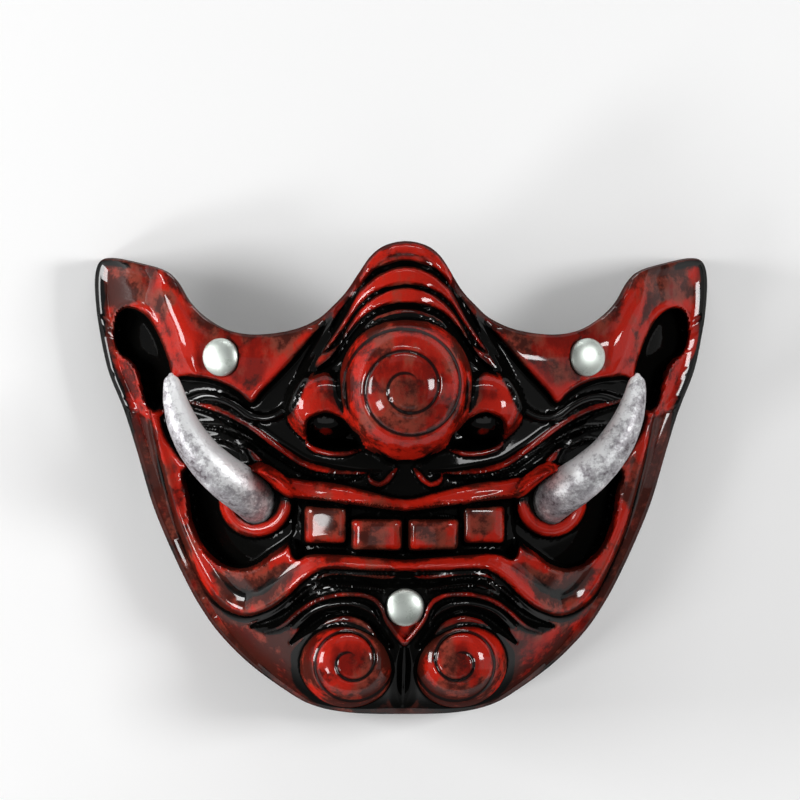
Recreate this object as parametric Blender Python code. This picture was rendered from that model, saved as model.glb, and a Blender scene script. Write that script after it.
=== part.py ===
# Samurai face guard: a cast resin half mask with two silver tusks and three domed studs.
# It lies on its rear rim and looks up: +Z is the way the face looks, +Y is up the nose and +X is across.
# The two halves of the face are alike, so a place on it is given as its distance out from the middle
# and up from mid height, in percent of half the width and half the height of the face.
from math import ceil, cos, pi, radians, sin

import bmesh
import bpy
import numpy as np
from mathutils import Matrix, Vector

# Driving sizes, in metres
FACE_WIDTH = 0.185
FACE_HEIGHT = 0.142
FACE_DEPTH = 0.088
WALL = 0.0034
EDGE_ROUND = 0.0032
RIM_CHAMFER = 0.0004
TURN_DOWN_REACH = 0.0085
TURN_DOWN = 0.0050
FOLD_WIDTH = 0.0032
FOLD_RISE = 0.0050
HOLLOW_DEPTH = 0.0100
FIT_GAP = 0.0003
TUSK_DIAMETER = 0.0132
COLLAR_WIDTH = 0.0052
COLLAR_RISE = 0.0062
SOCKET_DEPTH = 0.0015
STUD_CAP_DIAMETER = 0.0114
STUD_CAP_RISE = 0.0024
STUD_CAP_EDGE = 0.0006
STUD_SHANK_DIAMETER = 0.0040
STUD_GRIP = 0.0032
STUD_DISC_DIAMETER = 0.0088
STUD_DISC_THICKNESS = 0.0012
STUD_SINK = 0.0008
STUD_ROOM = 0.0005

# How finely the face is divided before it is thinned, and how many triangles are kept of it
COLUMNS = 168
ROWS = 132
INSIDE_COLUMNS = 44
INSIDE_ROWS = 34
SHELL_TRIANGLES = 8600
TUSK_SIDES = 12
STUD_SIDES = 16
ROUTE_STEP = 0.0015

HALF_WIDTH = FACE_WIDTH / 2
HALF_HEIGHT = FACE_HEIGHT / 2

# The outline of one half, from the middle of the nose bridge round to the middle of the chin:
# out, up, height of the side wall in percent of FACE_DEPTH, share of TURN_DOWN that the edge falls by
OUTLINE = (
    (0, 100, 12, 0.5),
    (6.5, 98.3, 12, 0.5),
    (11, 94, 12, 0.5),
    (15, 86.5, 12, 0.5),
    (18.5, 79.5, 12, 0.6),
    (22.7, 73.5, 11, 0.7),
    (28, 67.5, 10, 0.8),
    (36, 63, 10, 0.8),
    (47, 61, 10, 0.8),
    (56, 62.5, 10, 0.8),
    (63, 67.3, 10, 0.8),
    (68.7, 74.2, 11, 0.8),
    (73, 83.3, 13, 0.8),
    (77.5, 88.3, 18, 0.8),
    (86, 91.7, 24, 0.8),
    (94, 93.8, 26, 0.8),
    (98.3, 92.6, 26, 0.8),
    (100, 87, 26, 0.9),
    (100, 77, 26, 1),
    (98.7, 63.5, 26, 1),
    (95.8, 46, 26, 1),
    (90.7, 29.3, 24, 1),
    (86.5, 12, 20, 1),
    (81.8, -9, 17, 1),
    (77, -25, 16, 1),
    (71, -42, 16, 1),
    (66, -54, 17, 1),
    (59.5, -66, 19, 1),
    (50, -78.5, 23, 1),
    (39, -89.2, 28, 1),
    (29.5, -96.3, 34, 1),
    (17.5, -99.5, 36, 1),
    (0, -100, 36, 1),
)
WING_CORNER = 16
CHIN_CORNER = 30

# Level sections of the plain face, from the nose bridge down: up, how far forward its middle is and its
# sides are in percent of FACE_DEPTH, and how far out the sides are
LEVELS = (
    (120, 73, 12, 104),
    (100, 73, 12, 104),
    (60, 71, 12, 103),
    (20, 69, 13, 96),
    (-10, 68, 14, 88),
    (-35, 67, 14, 79),
    (-55, 63, 13, 70),
    (-75, 55, 12, 58),
    (-90, 44, 11, 46),
    (-100, 31, 9, 38),
    (-115, 6, 6, 30),
)
LEVEL_BEND = 2.3

# Broad swellings: out, up, half width, half height, rise in percent of FACE_DEPTH
SWELLINGS = (
    (0, 66, 26, 54, 10),  # nose bridge
    (0, 0, 46, 36, 5),  # muzzle
    (0, -58, 30, 30, 3),  # chin
)

# Sunk places: name, share of HOLLOW_DEPTH, share of FOLD_WIDTH that the edge takes, corners as out and up
SUNK = (
    ("cheek valley", 0.42, 0.8, (
        (15.4, 82.5), (21.2, 74.8), (27.7, 63.8), (33.5, 54.5), (40, 44.8), (45.9, 36.8), (49.4, 32.1),
        (53.6, 36.4), (58.8, 40.2), (66, 42.7), (73.1, 42.7), (78, 36.8), (78.9, 28.3), (77, 18.6),
        (72.4, 8.9), (68, 3.8), (58, 3.8), (45.9, 3.8), (33.5, -6), (12, -10), (-12, -12), (-12, 11.4),
        (4, 11.4), (17.3, 15), (33.5, 19), (36.1, 31.3), (31.9, 45.2), (19, 69),
    )),
    ("mouth", 0.80, 0.7, (
        (36.1, -8), (23.8, -8.9), (10.9, -11.4), (-12, -14.8), (-12, -32.6), (17.3, -31.3),
        (29.7, -31), (35, -33), (37, -27), (38.5, -18),
    )),
    ("cheek pocket", 0.95, 1.0, (
        (70.5, 3.8), (69.5, -8.9), (68.2, -19.5), (65, -28.8), (59.5, -35.5), (53.6, -38.1), (47.8, -36.4),
        (42.6, -31.7), (37.5, -27), (34.5, -22.4), (34.5, -10), (38.1, -5.5), (43.3, -0.4), (53, 3.8),
        (62.7, 5.9),
    )),
    ("ear hollow", 1.0, 0.65, (
        (89.3, 71.9), (84.4, 69.3), (81.2, 63.8), (78.6, 56.7), (76.3, 47.8), (75.7, 39.7), (77.6, 32.6),
        (80.8, 29.6), (83.6, 33.4), (84.9, 39), (86, 45), (88.3, 49.8), (92, 54.6), (93.2, 62), (92.2, 69.8),
    )),
)

# Round bodies that stand out of the face: out, up, half width, half height, then how far forward their
# widest section is and how much further their top is, in percent of FACE_DEPTH, and how broad that top is
DOMES = (
    (0, 38.5, 21.8, 30.8, 73, 27, 1.2),  # nose
    (25.4, 30.8, 13.6, 16.4, 60, 18, 1.6),  # nostril wing
    (17.6, -76.5, 16.6, 20.6, 35, 30, 1.8),  # chin boss
)

# The same for what is sunk into the round bodies
SUNK_IN_DOMES = (
    ("nostril", 1.2, 0.6, (
        (31.3, 24.9), (29.3, 26.6), (26.4, 27.9), (23.8, 27.5), (21.2, 25.8), (19, 23.3), (16.7, 20.7),
        (14.7, 18.2), (14.4, 13.5), (19, 13.5), (23.8, 14), (27.7, 14.8), (31, 17.3), (31.9, 20.7),
    )),
)

# Teeth: out, up, half width, half height, share of HOLLOW_DEPTH that they stand up by
TEETH = (
    (9.2, -23.5, 9.3, 7.7, 0.62),
    (25.6, -18.9, 7.6, 9.1, 0.56),
)

# Cross-sections of a fold, from its right side to its left: share of the half width, share of the height
FOLD_SHAPES = {
    "roll": ((-1, 0), (-0.85, 0.42), (-0.5, 0.82), (0, 1), (0.5, 0.82), (0.85, 0.42), (1, 0)),
    "ridge": ((-1, 0), (-0.6, 0.3), (-0.3, 0.78), (0, 1), (0.3, 0.78), (0.6, 0.3), (1, 0)),
    "groove": ((-1, 0), (-0.75, -0.1), (-0.35, -0.65), (0, -1), (0.35, -0.65), (0.75, -0.1), (1, 0)),
    "lap": (
        (-1.3, 0), (-1, -0.14), (-0.6, -0.38), (-0.3, -0.1), (-0.1, 0.62), (0.15, 1), (0.5, 0.86),
        (1, 0.46), (1.5, 0.13), (2, 0),
    ),
    "collar": (
        (-1, 0), (-0.85, 0.42), (-0.5, 0.84), (0, 1), (0.5, 0.9), (1, 0.62), (1.5, 0.56), (9, 0.56),
    ),
}

# Folds, ridges and grooves: name, cross-section, share of FOLD_WIDTH, share of FOLD_RISE, and the route as
# out, up and how full the fold is there. A lap's steep side is on the right of its route.
FOLDS = (
    ("bridge edge", "roll", 0.55, 0.3, (
        (17.3, 77, 0.3), (13.5, 85.8, 0.9), (9.2, 93, 1), (4.4, 96.4, 1), (0, 97.3, 1),
    )),
    ("bridge groove 1", "groove", 0.6, 0.6, (
        (24, 62, 0.3), (21.2, 68.9, 0.8), (17.3, 76.5, 1), (13.5, 82.5, 1), (8.3, 87.5, 1), (0, 90.5, 1),
    )),
    ("bridge groove 2", "groove", 0.5, 0.5, (
        (27.1, 52, 0.3), (22.5, 57.1, 0.9), (18.6, 65.1, 1), (14.7, 72.3, 1), (10.2, 77.4, 1),
        (5, 80.3, 0.9), (0, 81.2, 0.8),
    )),
    ("bridge groove 3", "groove", 0.6, 0.6, (
        (30, 43, 0.4), (26, 47, 0.8), (22.5, 50.5, 1), (19.9, 55.5, 1), (16, 63, 1), (11.5, 68.8, 1),
        (5.7, 72, 1), (0, 72.8, 0.9),
    )),
    ("side line", "roll", 0.5, 0.42, (
        (16.5, 80, 0.4), (18.3, 75.7, 0.8), (23.8, 65.1, 1), (29.7, 52.4, 1), (34.2, 41, 1), (37.4, 31.7, 1),
        (40.7, 27.5, 1), (45.2, 25.8, 1), (49.8, 27.1, 1), (54.3, 30.9, 1), (58.8, 33.8, 1), (64, 35.1, 1),
        (70.5, 33.8, 0.8),
    )),
    ("cheek fold 1", "lap", 0.55, 0.45, (
        (8, 2.5, 0.3), (18.6, 2.1, 0.8), (26.4, 3, 1), (32.9, 5.5, 1), (39.4, 11, 1), (45.9, 17.3, 1),
        (53, 23.7, 1), (62.1, 29.2, 1), (70.8, 32.1, 0.8),
    )),
    ("cheek fold 2", "lap", 0.42, 0.35, (
        (14, 0, 0.3), (19, 0, 0.6), (28.4, 0.9, 0.7), (36.1, 5, 0.8), (43.3, 11.2, 1), (50.4, 17.3, 1),
        (57.5, 21.1, 1), (65, 22.4, 0.7),
    )),
    ("cheek fold 3", "lap", 0.36, 0.28, ((50, 12, 0.5), (53, 13.4, 0.9), (57.5, 16.1, 1), (63.4, 16.5, 0.6))),
    ("upper lip", "roll", 1.12, 1.3, (
        (50.7, 13.1, 0.35), (45.9, 5.5, 0.65), (40, -1.3, 0.9), (33.5, -4.2, 1), (23.8, -5.5, 1),
        (12.5, -8, 0.85), (0, -11, 0.75),
    )),
    ("nostril rim", "roll", 0.35, 0.3, (
        (33.2, 17.3, 0.5), (29.7, 13.1, 1), (24.5, 11, 1), (18.6, 11, 1), (14.1, 13.1, 1), (10.2, 11.4, 0.8),
        (6.3, 7.6, 0.6),
    )),
    ("nostril crease", "groove", 0.45, 0.4, (
        (19, 46.9, 0.5), (19.6, 39.7, 1), (19, 31.3, 1), (16.7, 23.3, 1), (12.8, 16.5, 0.6),
    )),
    ("septum", "roll", 0.28, 0.3, ((12, 13.5, 0.5), (7.6, 9.5, 1), (3.4, 5.5, 0.7))),
    ("philtrum lobe", "roll", 0.38, 0.45, (
        (12.2, 2.1, 0.5), (10.9, -0.8, 1), (8.3, -2.1, 1), (6, -0.4, 1), (4.4, 2.1, 1), (2.8, 4.7, 0.6),
    )),
    ("lower lip", "lap", 1, 0.9, (
        (0, -37.5, 0.8), (14.1, -37.1, 0.8), (23.8, -36.6, 0.8), (28.4, -38, 0.8), (33.5, -42.6, 0.9),
        (38.4, -48.8, 1), (43.9, -54.1, 1), (51.1, -57.1, 1), (57.5, -54.1, 1), (63, -46.9, 1),
        (67.9, -35.1, 0.9), (71.8, -22.4, 0.8), (75, -8.9, 0.7), (78, 5.9, 0.6), (80.6, 20.7, 0.5),
        (82.2, 29.6, 0.3),
    )),
    ("pocket rim", "roll", 0.45, 0.35, (
        (70.8, 7.2, 0.6), (69.9, -4.7, 0.9), (68.6, -17.3, 1), (65.3, -27.9, 1), (59.8, -35.5, 1),
        (53.6, -38.1, 1), (47.5, -36.4, 1), (42.3, -31.3, 0.9), (36.8, -25.8, 0.5),
    )),
    ("chin groove", "groove", 0.75, 0.7, (
        (0, -43.5, 0.7), (14.1, -42.9, 1), (23.2, -42.4, 1), (29, -45.4, 1), (34.2, -52.2, 1),
        (40.7, -58.8, 1), (49.1, -62.6, 0.5),
    )),
    ("chin line", "roll", 0.34, 0.5, (
        (45, -65, 0.5), (39.5, -62, 0.9), (33.7, -55.4, 1), (28.2, -51, 1), (21.7, -48.6, 1),
        (15, -48.4, 1), (10.2, -50.2, 1), (7.6, -54, 1), (5.9, -59.5, 1), (3.2, -64.5, 1), (0.1, -69.3, 1),
    )),
    ("chin line above", "roll", 0.42, 0.4, (
        (38, -54.5, 0.4), (33.7, -49.7, 0.9), (28.2, -45.2, 1), (21.7, -43.6, 1), (13.3, -44.6, 1),
        (7.2, -46.6, 0.5),
    )),
    ("chin line below", "roll", 0.4, 0.4, (
        (36.5, -63.5, 0.4), (33.4, -59.9, 0.9), (28.6, -55, 1), (21.7, -52.3, 1), (15, -52.8, 1),
        (10.8, -56, 1), (8.4, -62, 0.5),
    )),
    ("boss groove", "groove", 0.7, 0.6, (
        (4.6, -70, 0.6), (8, -64, 1), (11.8, -58.6, 1), (18.5, -55.7, 1), (25.4, -57.6, 1), (31.6, -63.2, 1),
        (36.3, -69, 0.5),
    )),
    ("chin cleft", "groove", 0.9, 0.6, ((0.1, -70, 0.5), (0.1, -78, 1), (0.1, -88, 1), (0.1, -96, 0.3))),
    ("cheek crest", "ridge", 2.4, 0.5, (
        (79, 88, 0.4), (75.7, 75.7, 1), (73.1, 65.1, 1), (70.8, 54.5, 1), (67.6, 45, 0.5),
    )),
    ("ear lobe", "roll", 0.42, 0.42, (
        (91, 53.6, 0.5), (87.8, 49.2, 1), (85.8, 44.6, 1), (84.6, 38.5, 1), (83, 32.6, 0.7),
    )),
    ("ear rim", "roll", 0.3, 0.2, (
        (80, 66, 0.4), (83.5, 71.5, 1), (88.5, 73.5, 1), (92, 71.5, 1), (94.5, 66, 0.8), (94.5, 56, 0.6),
        (92, 45, 0.5), (88.5, 33, 0.7), (85, 28, 0.9), (80, 27, 1), (76.5, 30, 0.8), (74.5, 36, 0.4),
    )),
)

# Spiral grooves: out, up, first radius and last radius in percent of HALF_WIDTH, turns, which is below 0
# for one that winds out clockwise, start in degrees, and whether the other half of the face has it too
SPIRALS = (
    ("nose spiral", 0, 38.5, 4.5, 20.2, 2.2, 90, False),
    ("chin spiral", 17.7, -76.5, 3, 14.4, -1.65, 70, True),
)
SPIRAL_WIDTH = 0.0008
SPIRAL_DEPTH = 0.0009

# The run of a tusk: out, up, forward of its seat in percent of FACE_DEPTH, share of TUSK_DIAMETER
TUSK = (
    (48, -9.2, -1, 1),
    (50.2, -6.6, 4, 1.02),
    (54.5, -2.4, 9, 1.03),
    (60.5, 3.8, 12.5, 0.96),
    (66.5, 12, 14, 0.85),
    (71.3, 22.5, 14, 0.73),
    (74, 32.5, 12.5, 0.57),
    (75, 39.5, 11, 0.43),
    (75.3, 42.4, 10.4, 0.32),
    (75.4, 43.8, 10.1, 0.14),
)
TUSK_RINGS = 18

# Studs: name, out, up, and which side of the face it is on
STUDS = (
    ("stud_left", 59.3, 51.4, -1),
    ("stud_right", 59.3, 51.4, 1),
    ("stud_chin", 0, -53.7, 1),
)
STUD_LEAN = 0.6


# Curves and distances

def in_metres(rows):
    """Out and up become x and y; what other columns hold is left as it is."""
    rows = np.array(rows, float)
    rows[:, 0] *= HALF_WIDTH / 100
    rows[:, 1] *= HALF_HEIGHT / 100
    return rows


def smooth(rows, closed=False, step=ROUTE_STEP):
    """A smooth run through every row, and where in it each row lies."""
    rows = np.array(rows, float)
    if closed:
        ring = np.vstack([rows[-1:], rows, rows[:2]])
    else:
        ring = np.vstack([2 * rows[:1] - rows[1:2], rows, 2 * rows[-1:] - rows[-2:-1]])
    run, places = [], []
    for a, b, c, d in zip(ring, ring[1:], ring[2:], ring[3:]):
        count = max(2, ceil(np.hypot(*(c - b)[:2]) / step))
        t = np.arange(count)[:, None] / count
        square, cube = 2 * a - 5 * b + 4 * c - d, 3 * b - 3 * c + d - a
        places.append(sum(map(len, run)))
        run.append(b + ((c - a) * t + square * t**2 + cube * t**3) / 2)
    run.append(ring[-2:-1])
    places.append(sum(map(len, run)) - 1)
    return np.vstack(run), places


def mirrored(rows):
    """The rows on the other side of the face."""
    rows = np.array(rows, float)
    rows[:, 0] *= -1
    return rows


def across_middle(rows):
    """A route that reaches the middle runs on to its own mirror image, so that it crosses square."""
    rows = np.array(rows, float)
    if rows[0, 0] == 0:
        rows = np.vstack([mirrored(rows[2:0:-1]), rows])
    if rows[-1, 0] == 0:
        rows = np.vstack([rows, mirrored(rows[-2:-4:-1])])
    return rows


def ease(t):
    t = np.clip(t, 0, 1)
    return t * t * (3 - 2 * t)


def beside(run, x, y):
    """How far each place is from a run, its side, positive on the left, and the run's other columns there."""
    gap = np.full(x.shape, np.inf)
    side = np.ones(x.shape)
    other = np.zeros((run.shape[1] - 2,) + x.shape)
    for a, b in zip(run[:-1], run[1:]):
        dx, dy = b[:2] - a[:2]
        along = np.clip(((x - a[0]) * dx + (y - a[1]) * dy) / (dx * dx + dy * dy + 1e-18), 0, 1)
        away = np.hypot(x - a[0] - along * dx, y - a[1] - along * dy)
        closer = away < gap
        gap[closer] = away[closer]
        side[closer] = np.where(dx * (y - a[1]) - dy * (x - a[0]) < 0, -1, 1)[closer]
        for column in range(len(other)):
            value = a[2 + column] + along * (b[2 + column] - a[2 + column])
            other[column][closer] = value[closer]
    return gap, side, other


def around(run, x, y, reach):
    """Which places are near enough to a run to be shaped by it."""
    low, high = run[:, :2].min(0) - reach, run[:, :2].max(0) + reach
    return (x > low[0]) & (x < high[0]) & (y > low[1]) & (y < high[1])


def inside(run, x, y):
    """Which places a closed run goes round."""
    within = np.zeros(x.shape, bool)
    for a, b in zip(run[:-1], run[1:]):
        if a[1] != b[1]:
            crossing = ((a[1] > y) != (b[1] > y)) & (x < (b[0] - a[0]) * (y - a[1]) / (b[1] - a[1]) + a[0])
            within ^= crossing
    return within


def fold_height(shape, share):
    rows, _ = smooth(FOLD_SHAPES[shape], step=0.05)
    return np.interp(share, rows[:, 0], rows[:, 1])


# The face as a height over its plan

def plain_height(x, y):
    """The face without its relief: the level sections and the broad swellings."""
    out, up = np.abs(x) / HALF_WIDTH * 100, y / HALF_HEIGHT * 100
    levels, _ = smooth(LEVELS, step=1)
    levels = levels[::-1]
    middle, side, span = (np.interp(up, levels[:, 0], levels[:, column]) for column in (1, 2, 3))
    height = side + (middle - side) * (1 - (out / span) ** LEVEL_BEND)
    for at_out, at_up, half_out, half_up, rise in SWELLINGS:
        reach = ((out - at_out) / half_out) ** 2 + ((up - at_up) / half_up) ** 2
        height = height + rise * np.clip(1 - reach, 0, 1) ** 2
    return height * FACE_DEPTH / 100


def sink(height, x, y, places):
    """Sinks the places that are given; where two overlap, the deeper one counts."""
    sunk = np.zeros(height.shape)
    for _, depth, softness, corners in places:
        run, _ = smooth(in_metres(corners), closed=True)
        run = np.vstack([run, run[:1]])
        edge = softness * FOLD_WIDTH
        near = around(run, x, y, edge)
        gap, _, _ = beside(run, x[near], y[near])
        signed = np.where(inside(run, x[near], y[near]), gap, -gap)
        sunk[near] = np.maximum(sunk[near], depth * HOLLOW_DEPTH * ease(signed / edge + 0.5))
    return height - sunk


def add_domes(height, x, y):
    blend = 0.25 * FOLD_WIDTH
    for at_out, at_up, half_out, half_up, seat, rise, broad in DOMES:
        a = (x / HALF_WIDTH * 100 - at_out) / half_out
        b = (y / HALF_HEIGHT * 100 - at_up) / half_up
        reach = (a * a + b * b) ** broad
        dome = (seat + rise * np.sqrt(np.clip(1 - reach, 0, 1))) * FACE_DEPTH / 100
        dome = np.where(reach < 1, dome, -FACE_DEPTH)
        meet = np.clip(1 - np.abs(height - dome) / blend, 0, 1)
        height = np.maximum(height, dome) + meet**2 * blend / 4
    return height


def add_teeth(height, x, y):
    for at_out, at_up, half_out, half_up, rise in TEETH:
        a = np.abs(x / HALF_WIDTH * 100 - at_out) / half_out
        b = np.abs(y / HALF_HEIGHT * 100 - at_up) / half_up
        height = height + rise * HOLLOW_DEPTH * np.clip(1 - a**8, 0, 1) * np.clip(1 - b**8, 0, 1)
    return height


def add_fold(height, x, y, shape, half_width, rise, run):
    reach = half_width * max(abs(FOLD_SHAPES[shape][0][0]), abs(FOLD_SHAPES[shape][-1][0]))
    near = around(run, x, y, reach)
    gap, side, (full,) = beside(run, x[near], y[near])
    height[near] += rise * full * fold_height(shape, gap * side / (half_width * np.maximum(full, 0.3)))
    return height


def collar_run():
    """The ring that each tusk is seated in."""
    middle = in_metres([TUSK[0][:2]])[0]
    radius = TUSK_DIAMETER / 2 + FIT_GAP + COLLAR_WIDTH * 0.4
    turn = np.linspace(0, 2 * pi, 41)
    return np.stack([middle[0] + radius * np.cos(turn), middle[1] + radius * np.sin(turn), np.ones(41)], 1)


def tusk_seat():
    """How far forward the bottom of a collar is."""
    place = in_metres([TUSK[0][:2]])
    floor = sink(plain_height(place[:, 0], place[:, 1]), place[:, 0], place[:, 1], SUNK)[0]
    return floor + FOLD_SHAPES["collar"][-1][1] * COLLAR_RISE


def spiral_run(at_out, at_up, first, last, turns, start):
    t = np.linspace(0, 1, 80)
    radius = (first + (last - first) * t) * HALF_WIDTH / 100
    turn = radians(start) + t * turns * 2 * pi
    middle = in_metres([(at_out, at_up)])[0]
    full = ease(np.minimum(t, 1 - t) * 12)
    return np.stack([middle[0] + radius * np.cos(turn), middle[1] + radius * np.sin(turn), full], 1)


def outline_run():
    """The outline of one half, and where its two corners are in it."""
    rows = across_middle(OUTLINE)
    run, places = smooth(in_metres(rows))
    first, last = places[2], places[-3]
    run[first, 0] = run[last, 0] = 0
    return run[first:last + 1], places[2 + WING_CORNER] - first, places[2 + CHIN_CORNER] - first


def face_height(x, y):
    """How far forward the finished face is at each place."""
    half = np.abs(x)
    height = sink(plain_height(half, y), half, y, SUNK)
    height = sink(add_domes(height, half, y), half, y, SUNK_IN_DOMES)
    height = add_teeth(height, half, y)
    height = add_fold(height, half, y, "collar", COLLAR_WIDTH / 2, COLLAR_RISE, collar_run())
    for _, shape, width, rise, route in FOLDS:
        run, _ = smooth(in_metres(across_middle(route)))
        height = add_fold(height, half, y, shape, width * FOLD_WIDTH, rise * FOLD_RISE, run)
    for _, *spiral, both in SPIRALS:
        across = half if both else x
        height = add_fold(height, across, y, "groove", SPIRAL_WIDTH, SPIRAL_DEPTH, spiral_run(*spiral))
    run, _, _ = outline_run()
    gap, _, (_, fall) = beside(run, half, y)
    return height - fall * TURN_DOWN * np.clip(1 - gap / TURN_DOWN_REACH, 0, 1) ** 2


# The plan of the face: a square sheet drawn out to the outline

def spread(run, shares):
    """Places at these shares of a run's length."""
    length = np.concatenate([[0], np.cumsum(np.hypot(*np.diff(run[:, :2], axis=0).T))])
    return np.stack([np.interp(shares, length / length[-1], column) for column in run.T], -1)


def drawn_plan(s, t):
    """x, y, wall height and fall at places of the square: s runs across from the left, t down the face."""
    run, wing, chin = outline_run()
    top = np.vstack([mirrored(run[wing:0:-1]), run[:wing + 1]])
    foot = np.vstack([mirrored(run[chin:-1]), run[:chin - 1:-1]])
    right = run[wing:chin + 1]
    left = mirrored(right)
    across_top, across_foot = spread(top, s), spread(foot, s)
    down_left, down_right = spread(left, t), spread(right, t)
    s, t = s[..., None], t[..., None]
    corners = (1 - s) * ((1 - t) * top[0] + t * foot[0]) + s * ((1 - t) * top[-1] + t * foot[-1])
    return (1 - t) * across_top + t * across_foot + (1 - s) * down_left + s * down_right - corners


def inset_plan(s, t, inset):
    """The plan drawn in from its outline by a width."""
    middle = np.full(s.shape, 0.5)
    ends = np.zeros(s.shape), np.ones(s.shape)
    width = np.abs(drawn_plan(ends[1], t) - drawn_plan(ends[0], t))[..., 0]
    height = np.abs(drawn_plan(s, ends[0]) - drawn_plan(s, ends[1]))[..., 1]
    a, b = inset / width, inset / height
    return drawn_plan(a + (1 - 2 * a) * s, b + (1 - 2 * b) * t)


def inside_height(s, t):
    """The inner face lies at least a wall's thickness under the outer one, and is smoothed."""
    across, down = np.meshgrid(np.linspace(0, 1, INSIDE_COLUMNS + 1), np.linspace(0, 1, INSIDE_ROWS + 1))
    plan = inset_plan(across, down, WALL)
    x, y = plan[..., 0], plan[..., 1]
    height = face_height(x.ravel(), y.ravel()).reshape(x.shape) - WALL
    for share in (0.5, 0.95):
        for turn in np.arange(8) * pi / 4 + share:
            dx, dy = WALL * share * cos(turn), WALL * share * sin(turn)
            moved = face_height((x + dx).ravel(), (y + dy).ravel()).reshape(x.shape)
            height = np.minimum(height, moved - WALL * (1 - share**2) ** 0.5)
    # The wall is thicker behind the socket of each tusk
    root = in_metres([TUSK[0][:2]])[0]
    behind = np.hypot(np.abs(x) - root[0], y - root[1]) < TUSK_DIAMETER / 2 + 2 * WALL
    socket_foot = tusk_seat() + TUSK[0][2] * FACE_DEPTH / 100 - SOCKET_DEPTH
    height[behind] = np.minimum(height[behind], socket_foot - WALL / 2)
    for _ in range(2):
        eased = np.pad(height, 1, mode="edge")
        eased = (eased[:-2, 1:-1] + eased[2:, 1:-1] + eased[1:-1, :-2] + eased[1:-1, 2:]) / 4
        height = np.minimum(height, (height + eased) / 2)
    column, row = s * INSIDE_COLUMNS, t * INSIDE_ROWS
    i = np.clip(column.astype(int), 0, INSIDE_COLUMNS - 1)
    j = np.clip(row.astype(int), 0, INSIDE_ROWS - 1)
    a, b = column - i, row - j
    upper = height[j, i] * (1 - a) + height[j, i + 1] * a
    lower = height[j + 1, i] * (1 - a) + height[j + 1, i + 1] * a
    return upper * (1 - b) + lower * b


# The shell is made flat, as two square sheets joined by strips round their edges, and then formed

OUTER_SHEET, ROUND_1, ROUND_2, ROUND_3, WALL_FOOT, RIM_OUT, RIM_IN, WALL_INSIDE, INNER_SHEET = range(9)
ROUND_TURNS = {ROUND_1: radians(30), ROUND_2: radians(60), ROUND_3: radians(90)}


def flat_shell():
    """The sheets and strips; z tells which of them a vertex belongs to."""
    bm = bmesh.new()
    bmesh.ops.create_grid(bm, x_segments=COLUMNS, y_segments=ROWS, size=0.5)
    edges = [edge for edge in bm.edges if edge.is_boundary]
    for strip in range(ROUND_1, INNER_SHEET):
        made = bmesh.ops.extrude_edge_only(bm, edges=edges)["geom"]
        for vert in (item for item in made if isinstance(item, bmesh.types.BMVert)):
            vert.co.z = strip
        edges = [item for item in made if isinstance(item, bmesh.types.BMEdge)]
        edges = [edge for edge in edges if all(vert.co.z == strip for vert in edge.verts)]
    lift = Matrix.Translation((0, 0, INNER_SHEET))
    sheet = bmesh.ops.create_grid(bm, x_segments=COLUMNS, y_segments=ROWS, size=0.5, matrix=lift)["verts"]
    inner = {edge for vert in sheet for edge in vert.link_edges if edge.is_boundary}
    bmesh.ops.bridge_loops(bm, edges=edges + list(inner))
    return bm


def formed_shell(bm):
    """Every vertex goes from the flat sheets to its place on the mask."""
    bm.verts.ensure_lookup_table()
    flat = np.array([vert.co for vert in bm.verts])
    s, t, strip = flat[:, 0] + 0.5, 0.5 - flat[:, 1], np.round(flat[:, 2]).astype(int)
    placed = np.zeros(flat.shape)
    for which in range(INNER_SHEET + 1):
        here = strip == which
        inset = {OUTER_SHEET: EDGE_ROUND, RIM_OUT: RIM_CHAMFER, RIM_IN: WALL - RIM_CHAMFER}.get(which, 0)
        if which in ROUND_TURNS:
            inset = EDGE_ROUND * (1 - sin(ROUND_TURNS[which]))
        if which >= WALL_INSIDE:
            inset = WALL
        plan = inset_plan(s[here], t[here], inset)
        edge = inset_plan(s[here], t[here], EDGE_ROUND)
        if which == INNER_SHEET:
            height = inside_height(s[here], t[here])
        else:
            height = face_height(edge[:, 0], edge[:, 1])
        if which in ROUND_TURNS:
            height = height - EDGE_ROUND * (1 - cos(ROUND_TURNS[which]))
        if which in (WALL_FOOT, RIM_OUT, RIM_IN, WALL_INSIDE):
            height = np.maximum(height - edge[:, 2] * FACE_DEPTH / 100, 0)
        if which in (WALL_FOOT, WALL_INSIDE):
            height = height + RIM_CHAMFER
        placed[here] = np.stack([plan[:, 0], plan[:, 1], height], 1)
    for vert, place in zip(bm.verts, placed):
        vert.co = place


def kept(bm, name, material):
    """An object made of what was modelled, with its faces outwards and round parts shaded smooth."""
    bmesh.ops.remove_doubles(bm, verts=bm.verts, dist=1e-6)
    bmesh.ops.recalc_face_normals(bm, faces=bm.faces)
    mesh = bpy.data.meshes.new(name)
    bm.to_mesh(mesh)
    bm.free()
    mesh.shade_smooth()
    mesh.set_sharp_from_angle(angle=radians(40))
    mesh.materials.append(material)
    item = bpy.data.objects.new(name, mesh)
    bpy.context.scene.collection.objects.link(item)
    return item


def made_material(name, color, roughness, metallic):
    material = bpy.data.materials.new(name)
    material.use_nodes = True
    shader = material.node_tree.nodes["Principled BSDF"]
    shader.inputs["Base Color"].default_value = (*color, 1)
    shader.inputs["Roughness"].default_value = roughness
    shader.inputs["Metallic"].default_value = metallic
    return material


def cut(body, cutter):
    """Takes the cutter's shape out of a body, and hides the cutter."""
    cutter.hide_render = True
    cutter.display_type = "WIRE"
    modifier = body.modifiers.new(cutter.name, "BOOLEAN")
    modifier.operation = "DIFFERENCE"
    modifier.object = cutter


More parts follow.
